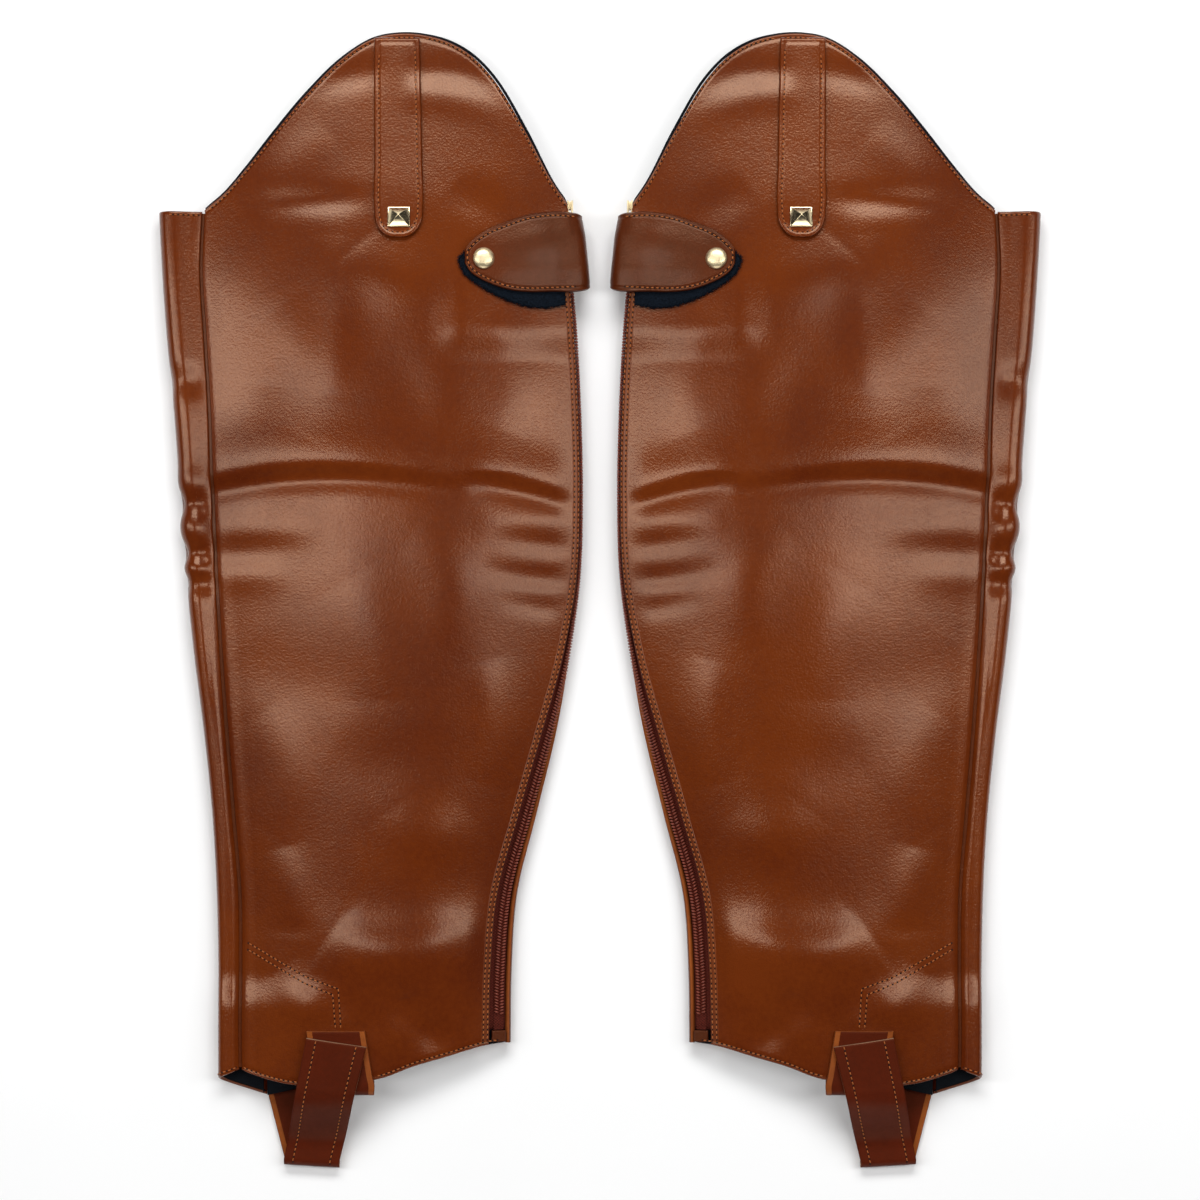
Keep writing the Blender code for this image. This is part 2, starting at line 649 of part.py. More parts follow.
def stud_mesh():
    """A pyramid with a thin square base."""
    mesh = bmesh.new()
    half_diagonal = STUD_WIDE * MM / math.sqrt(2)
    tip = STUD_TIP * MM
    bmesh.ops.create_cone(mesh, cap_ends=True, segments=4, radius1=half_diagonal, radius2=tip,
                          depth=STUD_HIGH * MM)
    bmesh.ops.rotate(mesh, matrix=Matrix.Rotation(math.radians(45), 3, "Z"), verts=mesh.verts)
    bmesh.ops.scale(mesh, vec=(1, STUD_LONG / STUD_WIDE, 1), verts=mesh.verts)
    base = min(mesh.faces, key=lambda face: face.calc_center_median().z)
    moved = bmesh.ops.extrude_face_region(mesh, geom=[base])["geom"]
    corners = [item for item in moved if isinstance(item, bmesh.types.BMVert)]
    bmesh.ops.translate(mesh, vec=(0, 0, -STUD_BASE * MM), verts=corners)
    mesh.faces.remove(base)
    bmesh.ops.translate(mesh, vec=(0, 0, (STUD_HIGH / 2 + STUD_BASE) * MM), verts=mesh.verts)
    out = LAID_GAP + LOOP_LEATHER + SEAM_GAP
    bmesh.ops.transform(mesh, matrix=seat(STUD_X, STUD_Y, out), verts=mesh.verts)
    return mesh


def cap_mesh():
    """The snap's domed cap."""
    mesh = bmesh.new()
    bmesh.ops.create_uvsphere(mesh, u_segments=CAP_SEGMENTS, v_segments=CAP_RINGS, radius=CAP_RADIUS * MM)
    bmesh.ops.bisect_plane(mesh, geom=[*mesh.verts, *mesh.edges, *mesh.faces], plane_co=(0, 0, 0),
                           plane_no=(0, 0, 1), clear_inner=True)
    bmesh.ops.holes_fill(mesh, edges=[edge for edge in mesh.edges if edge.is_boundary])
    bmesh.ops.scale(mesh, vec=(1, 1, CAP_HIGH / CAP_RADIUS), verts=mesh.verts)
    bmesh.ops.transform(mesh, matrix=seat(CAP_X, CAP_Y, SNAP_OUT + SEAM_GAP), verts=mesh.verts)
    return mesh


def zip_level(y):
    """The height of the zip fold's middle."""
    return section_at(y).back_r + lift(SLIDER_OUT_X, y)


def material_named(name):
    material = bpy.data.materials.get(name)
    if material:
        return material
    finish = FINISHES[name]
    material = bpy.data.materials.new(name)
    material.use_nodes = True
    shader = material.node_tree.nodes["Principled BSDF"]
    shader.inputs["Base Color"].default_value = (*finish.color, 1)
    shader.inputs["Roughness"].default_value = finish.roughness
    shader.inputs["Metallic"].default_value = finish.metallic
    return material


class Gaiter:
    """One side of the pair: it mirrors what it is given and puts it in the pair's collection."""

    def __init__(self, name, side, parts, cutters):
        self.name = name
        self.side = side
        self.parts = parts
        self.cutters = cutters
        self.base = bpy.data.objects.new(f"{name}_gaiter", None)
        parts.objects.link(self.base)

    def add(self, name, mesh, material, wall=0.0, offset=-1.0, collection=None, origin=None):
        mesh = mesh.copy()
        if self.side < 0:
            bmesh.ops.scale(mesh, vec=(-1, 1, 1), verts=mesh.verts)
            bmesh.ops.reverse_faces(mesh, faces=mesh.faces)
        place = Vector(origin or (0, 0, 0)) * MM
        place.x *= self.side
        bmesh.ops.translate(mesh, vec=-place, verts=mesh.verts)
        data = bpy.data.meshes.new(f"{self.name}_{name}")
        mesh.to_mesh(data)
        mesh.free()
        data.shade_smooth()
        data.set_sharp_from_angle(angle=math.radians(50))
        data.materials.append(material_named(material))
        obj = bpy.data.objects.new(data.name, data)
        obj.location = place
        obj.parent = self.base
        (collection or self.parts).objects.link(obj)
        if wall:
            shell = obj.modifiers.new("wall", "SOLIDIFY")
            shell.thickness = wall * MM
            shell.offset = offset
            shell.use_even_offset = True
        return obj

    def add_helper(self, name, mesh, material):
        obj = self.add(name, mesh, material, collection=self.cutters)
        obj.hide_render = True
        obj.display_type = "WIRE"
        return obj


def boolean(target, other, operation):
    modifier = target.modifiers.new(operation.lower(), "BOOLEAN")
    modifier.operation = operation
    modifier.object = other


def add_slider(gaiter):
    """Two plates joined by a post at the top, with the lug that the pull tab hangs on."""
    z = zip_level(TAPE_TOP_Y)
    low, high = z - SLIDER_HALF_Z, z + SLIDER_HALF_Z
    near_x, far_x = SLIDER_OUT_X, SLIDER_OUT_X + SLIDER_DEEP
    sunk = SLIDER_PLATE / 2
    plate = box_mesh((near_x, SLIDER_BOTTOM_Y, low), (near_x + SLIDER_PLATE, SLIDER_TOP_Y, high))
    slider = gaiter.add("zip_slider", plate, "brass")
    back_plate = box_mesh((far_x - SLIDER_PLATE, SLIDER_BOTTOM_Y, low), (far_x, SLIDER_TOP_Y, high))
    post = box_mesh((near_x + sunk, SLIDER_POST_Y, low + POST_INSET_Z),
                    (far_x - sunk, SLIDER_TOP_Y - POST_INSET_Y, high - POST_INSET_Z))
    lug = box_mesh((LUG_X, LUG_Y - LUG_HALF, z - LUG_HALF), (near_x + sunk, LUG_Y + LUG_HALF, z + LUG_HALF))
    for name, mesh in (("slider_back_plate", back_plate), ("slider_post", post), ("slider_lug", lug)):
        boolean(slider, gaiter.add_helper(name, mesh, "brass"), "UNION")


def add_pull_tab(gaiter):
    """A flat tab that hangs down beside the zip, its eye round the slider's lug."""
    z = zip_level(TAPE_TOP_Y)
    pivot = (PULL_X, LUG_Y, z)
    half = PULL_THICK / 2
    body = box_mesh((PULL_X - half, LUG_Y - PULL_LENGTH, z - PULL_HALF_Z),
                    (PULL_X + half, LUG_Y + PULL_TOP, z + PULL_HALF_Z))
    corners = [edge for edge in body.edges if abs(edge.verts[0].co.x - edge.verts[1].co.x) > half * MM]
    bmesh.ops.bevel(body, geom=corners, offset=PULL_CORNER * MM, segments=3, profile=0.5, affect="EDGES")
    tab = gaiter.add("zip_pull_tab", body, "brass", origin=pivot)
    eye = box_mesh((PULL_X - PULL_THICK, LUG_Y - PULL_EYE_HALF, z - PULL_EYE_HALF),
                   (PULL_X + PULL_THICK, LUG_Y + PULL_EYE_HALF, z + PULL_EYE_HALF))
    boolean(tab, gaiter.add_helper("pull_tab_eye", eye, "brass"), "DIFFERENCE")


def add_panels(gaiter):
    outer = grid_mesh(outer_panel_point, PANEL_CELLS_ACROSS, PANEL_ROWS)
    gaiter.add("outer_panel", outer, "leather", LEATHER)
    gaiter.add("front_band", grid_mesh(band_point, BAND_COLUMNS, len(BAND_LEVELS) - 1), "leather", LEATHER)
    inner = grid_mesh(inner_panel_point, INNER_COLUMNS, len(INNER_LEVELS) - 1)
    gaiter.add("inner_panel", inner, "dark_leather", LEATHER)

    def lining_point(column, row):
        return inner_panel_point(column, row, -LEATHER - SEAM_GAP)

    gaiter.add("hem_lining", grid_mesh(lining_point, LINING_COLUMNS, LINING_ROWS), "lining", LINING)


def add_zip(gaiter):
    outer_tape = zip_strip(TAPE_GAP_HALF, ZIP_HALF + TAPE_TAIL, TAPE_BOTTOM_Y, TAPE_TOP_Y, TAPE_DEPTH)
    inner_tape = zip_strip(-ZIP_HALF - TAPE_TAIL, -TAPE_GAP_HALF, TAPE_BOTTOM_Y, TAPE_TOP_Y, TAPE_DEPTH)
    coil = zip_strip(-COIL_HALF, COIL_HALF, COIL_BOTTOM_Y, TAPE_TOP_Y, COIL_DEPTH)
    end_tab = zip_strip(-END_TAB_HALF, END_TAB_HALF, END_TAB_BOTTOM_Y, END_TAB_TOP_Y, END_TAB_DEPTH,
                        END_TAB_COLUMNS, END_TAB_ROWS)
    gaiter.add("zip_tape_outer", outer_tape, "zip_tape", TAPE)
    gaiter.add("zip_tape_inner", inner_tape, "zip_tape", TAPE)
    gaiter.add("zip_coil", coil, "zip_coil", COIL_THICK)
    gaiter.add("zip_end_tab", end_tab, "dark_leather", STRAP_LEATHER)
    add_slider(gaiter)
    add_pull_tab(gaiter)


def add_top_straps(gaiter):
    loop = grid_mesh(loop_strap_point, STRAP_COLUMNS, len(LOOP_STRAP) - 1)
    gaiter.add("loop_strap", loop, "leather", LOOP_LEATHER)
    gaiter.add("pyramid_stud", stud_mesh(), "brass")
    felt = grid_mesh(tongue_point(FELT_PATCH, LAID_GAP + FELT), TONGUE_COLUMNS, len(FELT_PATCH) - 1)
    gaiter.add("felt_patch", felt, "felt", FELT)
    snap_rows = TAIL_ROWS + len(SNAP_TURN) + len(SNAP_STRAP) - 1
    snap = grid_mesh(snap_strap_point, TONGUE_COLUMNS, snap_rows)
    gaiter.add("snap_strap", snap, "dark_leather", STRAP_LEATHER)
    gaiter.add("snap_cap", cap_mesh(), "brass")


def add_foot_straps(gaiter):
    foot = grid_mesh(foot_strap_point, STRAP_COLUMNS, FOOT_ROWS)
    gaiter.add("foot_strap", foot, "strap_leather", FOOT_LEATHER, offset=0.0)
    tab = grid_mesh(foot_tab_point, STRAP_COLUMNS, TAB_LEG_ROWS + TAB_TURN_ROWS + TAB_INSIDE_ROWS)
    gaiter.add("foot_tab", tab, "strap_leather", STRAP_LEATHER, offset=0.0)


def clear_scene():
    for obj in list(bpy.data.objects):
        bpy.data.objects.remove(obj, do_unlink=True)


def main():
    clear_scene()
    parts = bpy.data.collections.new("leather_gaiters")
    cutters = bpy.data.collections.new("cutters")
    bpy.context.scene.collection.children.link(parts)
    bpy.context.scene.collection.children.link(cutters)
    for name, side in (("left", -1), ("right", 1)):
        gaiter = Gaiter(name, side, parts, cutters)
        add_panels(gaiter)
        add_zip(gaiter)
        add_top_straps(gaiter)
        add_foot_straps(gaiter)


main()
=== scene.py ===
"""Looks for a pair of leather gaiters laid flat side by side.

Fine leather shells, stitching, zips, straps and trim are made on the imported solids, one side at a time.
Lengths are in millimetres unless a name says otherwise: x is the distance out from the middle of the
pair, y runs up the leg and z is the height above the floor. The meshes are in metres.
"""

import math
import random
from collections import namedtuple

import bmesh
import bpy
import numpy as np
from bpy.props import FloatProperty, FloatVectorProperty, PointerProperty
from mathutils import Matrix, Vector


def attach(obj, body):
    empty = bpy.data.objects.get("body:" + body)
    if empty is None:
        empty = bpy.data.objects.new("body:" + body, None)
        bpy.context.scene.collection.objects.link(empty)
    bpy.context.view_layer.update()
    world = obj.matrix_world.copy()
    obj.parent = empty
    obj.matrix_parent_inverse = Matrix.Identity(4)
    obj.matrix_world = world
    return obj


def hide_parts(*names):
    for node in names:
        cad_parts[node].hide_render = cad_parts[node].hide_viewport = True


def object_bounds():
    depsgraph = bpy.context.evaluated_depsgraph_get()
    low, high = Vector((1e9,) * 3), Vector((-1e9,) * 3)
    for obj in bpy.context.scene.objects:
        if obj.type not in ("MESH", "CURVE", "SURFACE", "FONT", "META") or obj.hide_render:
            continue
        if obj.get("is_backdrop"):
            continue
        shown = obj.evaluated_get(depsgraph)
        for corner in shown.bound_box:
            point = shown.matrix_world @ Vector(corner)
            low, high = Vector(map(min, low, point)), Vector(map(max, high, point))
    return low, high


bl_info = {
    "name": "Leather gaiters",
    "version": (1, 0, 0),
    "blender": (4, 5, 0),
    "location": "3D View > Sidebar > Gaiters",
    "description": "Dresses a pair of leather gaiters: shells, seams, zips, straps and trim",
    "category": "Object",
}

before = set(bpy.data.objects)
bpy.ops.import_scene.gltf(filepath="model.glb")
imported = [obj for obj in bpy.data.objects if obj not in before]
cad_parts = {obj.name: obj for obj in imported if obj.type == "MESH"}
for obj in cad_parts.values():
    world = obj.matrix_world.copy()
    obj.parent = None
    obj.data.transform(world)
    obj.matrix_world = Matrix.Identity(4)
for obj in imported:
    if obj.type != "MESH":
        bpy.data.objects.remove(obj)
packed_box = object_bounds()

MM = 0.001
SIDES = (("left", -1), ("right", 1))


def table(row, *rows):
    """Plain rows made into named ones."""
    return tuple(row(*values) for values in rows)


# Walls and gaps, as in the solids
LEATHER = 2.0
STRAP_LEATHER = 1.6
FOOT_LEATHER = 1.8
LOOP_LEATHER = 2.0
FELT = 1.0
LINING = 1.0
TAPE = 1.0
SEAM_GAP = 0.3
LAID_GAP = 0.45

# The tube's sections, from the open hem up to the tip of the Spanish top
Section = namedtuple("Section", "y front_x front_r under_x seam_x seam_z crown_z back_x back_r zip_turn")
SECTIONS = table(
    Section,
    (-235, 171.9, 4.6, 149.5, 161.5, 6.5, 14.0, 41.0, 4.2, 7.4),
    (-200, 172.0, 4.6, 150.5, 162.0, 6.6, 16.5, 40.3, 4.2, 7.4),
    (-165, 172.1, 4.6, 151.3, 162.0, 6.6, 19.0, 39.8, 4.2, 7.3),
    (-132, 172.8, 4.7, 152.3, 162.3, 6.8, 20.0, 37.4, 4.4, 6.9),
    (-96, 174.8, 4.9, 154.0, 165.1, 7.0, 21.0, 28.7, 4.7, 6.0),
    (-60, 178.4, 5.2, 156.5, 168.0, 7.5, 22.0, 20.0, 5.1, 4.5),
    (-24, 182.9, 5.6, 159.5, 170.6, 8.0, 23.0, 13.0, 5.5, 1.6),
    (12, 186.6, 6.0, 162.5, 172.7, 8.4, 24.0, 8.2, 5.8, 0.3),
    (48, 189.1, 6.3, 165.0, 174.3, 8.7, 24.5, 7.2, 6.0, 0.0),
    (84, 191.8, 6.5, 167.5, 175.8, 9.0, 25.0, 7.9, 6.0, 0.0),
    (120, 195.2, 6.5, 169.5, 177.9, 9.0, 24.0, 9.7, 6.0, 0.0),
    (150, 197.3, 6.4, 171.0, 179.6, 8.8, 22.5, 12.0, 6.0, 0.0),
    (176, 198.6, 6.0, 172.0, 178.6, 8.5, 20.0, 12.3, 6.0, 0.0),
    (204, 198.6, 6.0, 172.0, 178.0, 7.6, 15.5, 12.3, 5.2, 0.0),
    (230, 198.6, 6.0, 172.0, 178.0, 6.6, 11.5, 12.3, 4.2, 0.0),
    (260, 198.6, 6.0, 172.0, 178.0, 5.6, 7.5, 12.3, 3.4, 0.0),
)
CROWN_POWER = 2.6
ROLL_START = math.radians(62)

# Cut edges
BAND_TOP_Y = 175.4
INNER_TOP_Y = 177.0
BAND_HEM_UNDER_Y = -222.5
BAND_HEM_SEAM_Y = -210.6
EdgePoint = namedtuple("EdgePoint", "x y")
SPANISH_TOP = table(
    EdgePoint, (13.5, 177.5), (20.3, 187.0), (32.9, 211.3), (45.5, 232.9), (54.9, 243.7), (66.6, 251.4),
    (79.0, 255.2), (91.0, 255.8), (101.3, 253.8), (116.5, 244.2), (132.8, 227.8), (146.3, 211.3),
    (158.8, 195.3), (168.0, 184.6), (178.5, 175.8))
OUTER_HEM = table(
    EdgePoint, (40.0, -198.4), (50.4, -199.3), (68.0, -204.0), (84.6, -208.8), (95.0, -212.8),
    (115.0, -215.8), (137.3, -216.8), (153.0, -213.6), (162.0, -210.4))
INNER_HEM = table(
    EdgePoint, (41.0, -198.6), (70.0, -203.4), (99.0, -209.4), (117.0, -213.8), (136.8, -219.4),
    (150.2, -222.5))

# Creases of the outer panel, each an arc through three points. A negative depth is a ridge.
# start and end are the shares of its depth that a crease keeps at its two ends, and lower is the
# share of its width that it has on the side towards the hem.
Fold = namedtuple("Fold", "x0 y0 x1 y1 x2 y2 depth width start end lower", defaults=(1.0,))
FOLDS = table(
    Fold,
    # across the knee: broad ridges with a narrow trough below each
    (172, 58, 120, 63, 62, 57, -2.1, 17.0, 1.0, 0.3, 0.36),
    (172, 50, 120, 55, 66, 49, 0.9, 5.0, 1.0, 0.3),
    (66, 60, 42, 58, 16, 51, -1.4, 12.0, 0.2, 0.9, 0.42),
    (62, 52, 42, 50, 18, 44, 0.6, 5.0, 0.2, 0.9),
    # below the knee at the front seam
    (172, 31, 152, 32, 122, 33, -0.9, 11.0, 0.8, 0.1, 0.7),
    (172, 22, 155, 23, 134, 24, 0.35, 8.0, 0.9, 0.1),
    (170, 12, 156, 12, 138, 12, -0.6, 8.0, 0.8, 0.1),
    # short creases at the zip
    (16, 25, 28, 26, 46, 29, 0.5, 5.0, 0.8, 0.1),
    (16, 10, 32, 11, 54, 15, 0.8, 5.5, 0.9, 0.1),
    (16, -3, 28, -2, 46, 2, 0.5, 5.0, 0.8, 0.1),
    (16, 34, 34, 36, 58, 35, -0.6, 8.0, 0.8, 0.2),
    # from the shin to the loop strap, and the soft bulges round it
    (154, 178, 128, 179, 104, 180, 0.9, 6.0, 0.3, 0.3),
    (118, 164, 119, 130, 117, 92, -1.2, 10.0, 0.2, 0.2),
    (152, 184, 137, 197, 121, 210, -0.8, 11.0, 0.3, 0.2),
    (112, 156, 96, 146, 68, 140, -1.5, 15.0, 0.3, 0.2),
    (66, 186, 54, 178, 40, 174, 0.8, 9.0, 0.2, 0.2),
    # near the tip of the Spanish top
    (128, 232, 114, 236, 104, 238, 0.7, 7.0, 0.4, 0.8),
    (80, 238, 62, 237, 44, 230, 0.7, 6.5, 0.8, 0.3),
    (82, 227, 64, 225, 40, 216, -0.5, 7.0, 0.8, 0.2),
    # the ankle: a bulge over the instep, a pocket below it and the hem's waves
    (122, -150, 92, -158, 46, -147, -3.6, 14.0, 0.2, 0.3, 1.3),
    (94, -196, 86, -188, 84, -178, -1.2, 8.0, 0.5, 0.1),
    (142, -110, 138, -128, 136, -146, -1.1, 9.0, 0.1, 0.2),
    (142, -164, 136, -176, 132, -190, -1.4, 9.0, 0.2, 0.4),
    (120, -186, 110, -182, 106, -200, 1.6, 8.0, 0.3, 0.6),
    (92, -178, 80, -190, 66, -200, 1.8, 8.0, 0.3, 0.3),
    (60, -186, 54, -170, 50, -140, -0.8, 9.0, 0.2, 0.2),
    # slow ridges and hollows down the shin
    (160, -20, 134, -36, 96, -34, 0.5, 16.0, 0.3, 0.2),
    (112, 10, 100, -16, 96, -44, -0.8, 16.0, 0.2, 0.1),
    (50, -26, 46, -54, 50, -82, -1.0, 10.0, 0.1, 0.2),
    (120, -66, 92, -72, 60, -64, 0.5, 14.0, 0.2, 0.2),
    (148, 96, 152, 70, 160, 40, -0.5, 9.0, 0.2, 0.2),
    (142, 132, 128, 104, 134, 74, -0.9, 12.0, 0.3, 0.2),
    (98, 112, 84, 90, 90, 70, 0.7, 12.0, 0.2, 0.2),
    (48, 128, 36, 104, 42, 76, -0.9, 11.0, 0.2, 0.3),
    (152, -50, 140, -78, 148, -104, -0.9, 12.0, 0.2, 0.2),
    (92, -92, 76, -104, 56, -98, -0.9, 12.0, 0.3, 0.2),
    (84, 30, 66, 8, 72, -20, -0.7, 12.0, 0.2, 0.2),
)
FOLD_PIECES = 14
FOLD_REACH = 3.2

# Gathers pulled into the front band, by their height up the leg. A negative depth bulges out.
Gather = namedtuple("Gather", "y depth width")
GATHERS = table(
    Gather, (99, 0.9, 6.0), (54, -0.6, 6.0), (44, 1.7, 5.0), (33, -1.0, 6.0), (22, 1.8, 4.6),
    (15, -0.7, 4.0), (8, 1.2, 4.5))

# Where the tube lies on a strap, not on the floor
Lift = namedtuple("Lift", "x_from x_to y_from y_to height")
LIFTS = (
    Lift(-20, 60, 124, 400, STRAP_LEATHER + SEAM_GAP),
    Lift(106, 240, -400, -184, FOOT_LEATHER + SEAM_GAP),
)
LIFT_SHOULDER = 18.0

# Zip
ZIP_HALF = 4.9
TAPE_TAIL = 3.0
TAPE_DEPTH = LEATHER + LAID_GAP
TAPE_GAP_HALF = 0.75
TAPE_TOP_Y = 168.3
TAPE_BOTTOM_Y = -192.7
COIL_BOTTOM_Y = -185.6
COIL_DEPTH = 1.1
END_TAB_TOP_Y = -193.0
END_TAB_BOTTOM_Y = -198.0
END_TAB_DEPTH = 0.4
END_TAB_HALF = 3.3
SLIDER_OUT_X = 12.15
SLIDER_PLATE = 0.8
SLIDER_DEEP = 2.65
SLIDER_BOTTOM_Y = 168.6
SLIDER_TOP_Y = 180.2
SLIDER_POST_Y = 176.2
SLIDER_HALF_Z = 2.9
LUG_X = 10.35
LUG_Y = 170.6
LUG_HALF = 0.8
PULL_X = 11.1
PULL_THICK = 1.0
PULL_HALF_Z = 2.2
PULL_TOP = 1.9
PULL_LENGTH = 25.5
PULL_EYE_HALF = 1.2

# Straps: the width of each at a few places along it
LoopRow = namedtuple("LoopRow", "y x_low x_high")
LOOP_STRAP = table(
    LoopRow, (162.0, 87.6, 92.4), (163.2, 84.2, 95.8), (166.0, 81.2, 98.6), (170.0, 79.4, 100.2),
    (176.0, 78.9, 100.8), (196.0, 79.4, 100.9), (216.0, 79.9, 101.2), (236.0, 80.5, 101.4),
    (253.4, 81.0, 101.4))
STUD_X = 89.6
STUD_Y = 171.0
STUD_WIDE = 10.0
STUD_LONG = 9.0
STUD_HIGH = 3.6
STUD_BASE = 0.8
STUD_TIP = 0.5

TongueRow = namedtuple("TongueRow", "x upper_y lower_y")
SNAP_STRAP = table(
    TongueRow, (22.0, 174.3, 138.4), (32.0, 172.7, 137.9), (42.0, 169.1, 138.9), (50.0, 165.6, 141.7),
    (55.0, 162.4, 144.3), (58.6, 159.0, 147.3), (60.3, 156.6, 150.5))
SNAP_SEAM_START = TongueRow(11.0, 174.1, 139.1)
FELT_PATCH = table(
    TongueRow, (16.0, 168.5, 133.0), (23.0, 168.2, 131.6), (31.0, 167.2, 131.6), (41.0, 164.4, 134.3),
    (51.3, 160.2, 139.3), (57.0, 157.2, 143.0), (60.8, 155.0, 146.8), (62.3, 153.6, 149.6))
FOLD_JOIN_X = 18.0
FOLD_FULLNESS = 0.7
SNAP_TAIL_X = 43.0
FoldEdge = namedtuple("FoldEdge", "y x")
SNAP_FOLD_X = table(
    FoldEdge, (143.0, 4.5), (155.0, 5.9), (163.0, 6.7), (173.0, 8.1))
SNAP_TAIL_UPPER_Y = 173.0
SNAP_TAIL_LOWER_Y = 143.0
SNAP_OUT = LAID_GAP + FELT + SEAM_GAP + STRAP_LEATHER
SNAP_TURN = (-90, -62, -34, -8, 18, 44, 68)
CAP_X = 52.2
CAP_Y = 152.5
CAP_RADIUS = 4.65
CAP_HIGH = 2.2

# Foot strap: left and right edge of each leg, and the short tab that it lies on
FOOT_END = ((156.6, -196.5), (130.0, -198.0))
FOOT_TURN = ((142.5, -251.3), (117.6, -252.8))
FOOT_TOP = ((131.0, -194.8), (104.2, -198.8))
FOOT_TURN_RADIUS = 1.9
FOOT_FLOOR_Z = FOOT_LEATHER / 2 + 0.02
FOOT_LOW_Y = -246.0
FOOT_HIGH_Y = -219.5
FOOT_ON_TAB = LAID_GAP + STRAP_LEATHER + SEAM_GAP + FOOT_LEATHER / 2
FOOT_RISE_ROWS = 12
TAB_TOP = ((131.0, -191.9), (104.9, -191.9))
TAB_TURN = ((127.0, -217.9), (101.0, -217.9))
TAB_INSIDE_Y = -206.0
TAB_LEG_ROWS = 4
TAB_TURN_RADIUS = LEATHER / 2 + LAID_GAP + STRAP_LEATHER / 2

# Seam rows, in from their edge
HEM_ROW_IN = 1.7
TOP_ROW_IN = 1.7
LOOP_ROW_IN = 2.3
SNAP_ROW_IN = 1.8
ZIP_ROWS = (1.0, 2.9)
ZIP_EDGE_WIDE = 3.8
ZIP_EDGE_ROWS = 300

# Depth and width of the groove that a seam pulls into the leather
HEM_GROOVE = (0.3, 0.6)
LOOP_GROOVE = (0.3, 0.55)
SNAP_GROOVE = (0.35, 0.5)
ZIP_GROOVE = (0.16, 0.35)

# Radii of the turned edges, at the first and last row and the first and last column
PANEL_RADII = (0.9, 0.9, 0.5, 1.3)
BAND_RADII = (0.9, 0.9, 0.9, 0.9)
LOOP_RADII = (0.8, 0.8, 0.8, 0.8)
SNAP_RADII = (0, 0.7, 0.7, 0.7)
TURNED_EDGE_WIDE = 2.7
TURNED_EDGE_CROWN = 0.16
TURNED_EDGE_SUNK = 0.05
ALLOWANCE_DEPTH = 1.6

# Fineness of the strap grids, along and across
LOOP_CELLS = (110, 44)
FELT_CELLS = (60, 44)
SNAP_CELLS = (150, 60)
FOOT_CELLS = (150, 30)
TAB_CELLS = (60, 30)
SNAP_ACROSS = 13
FELT_FIBRES = 900

# Heights at which the columns of the panels are shared out, at the hem and at the top
HEM_LEVEL = -205.0
TOP_LEVEL = 176.0
EDGE_RISE = (0, 0.0006, 0.0015, 0.003)

# Shares of the inner panel: where its columns get finer, and how far the hem's lining reaches
INNER_SPLIT = 0.86
LINING_ACROSS = INNER_SPLIT * 8 / 14
LINING_RISE = 0.078

# Stitches, beside the sizes that the sidebar offers, and where straps cover their rows
LOOP_COVERS = (79.0, 103.0)
TAB_COVERS = (100.5, 130.5)
ZIP_ROW_OUT = 0.36
LOOP_ROW_SUNK = 0.2
THREAD_LIFT = 0.12
THREAD_SLANT = math.radians(7)
# Depth of the dark discs that paint the shade inside the needle holes
HOLE_DEEP = 0.24

# The instep reinforcement's double row
INSTEP_ROWS = (
    ((157.8, -153.6), (131.4, -167.9), (116.9, -173.0), (115.8, -191.0)),
    ((158.0, -156.6), (132.2, -170.6), (119.4, -175.6), (118.2, -191.0)),
)

# Camera and stage
CAMERA_LENS = 100.0
CAMERA_SENSOR = 36.0
VIEW_WIDE = 0.540
VIEW_LEVEL = 0.008
VIEW_CENTRE_Y = 0.0007
FLOOR_HALF = 4.0
FLOOR_DROP = 0.0004
WORLD_LIGHT = 0.03
LIGHTS = (
    ("top_softbox", (0, 1.20, 1.18), (1.5, 0.5), 23),
    ("left_softbox", (-0.92, 0.10, 1.22), (0.32, 1.5), 10),
    ("right_softbox", (0.92, 0.10, 1.22), (0.32, 1.5), 10),
    ("low_softbox", (0, -1.75, 0.60), (1.5, 0.6), 9),
)


def length_setting(name, description, default, low, high):
    return FloatProperty(name=name, description=description, default=default, min=low, max=high,
                         unit="LENGTH")


def colour_setting(name, description, default):
    return FloatVectorProperty(name=name, description=description, subtype="COLOR", size=3, min=0, max=1,
                               default=default)


class GaiterSizes(bpy.types.PropertyGroup):
    """Sizes of the trim that can be changed without touching the shells."""

    stitch_pitch: length_setting("Stitch pitch", "From one stitch to the next", 0.0023, 0.001, 0.01)
    stitch_length: length_setting("Stitch length", "Length of thread that shows", 0.0017, 0.0005, 0.01)
    thread_width: length_setting("Thread width", "Thickness of the sewing thread", 0.0006, 0.0002, 0.002)
    tooth_pitch: length_setting("Coil pitch", "From one turn of the zip to the next", 0.00135, 0.0008, 0.005)
    grain_size: length_setting("Grain size", "Width of one pebble of the grain", 0.0009, 0.0002, 0.01)


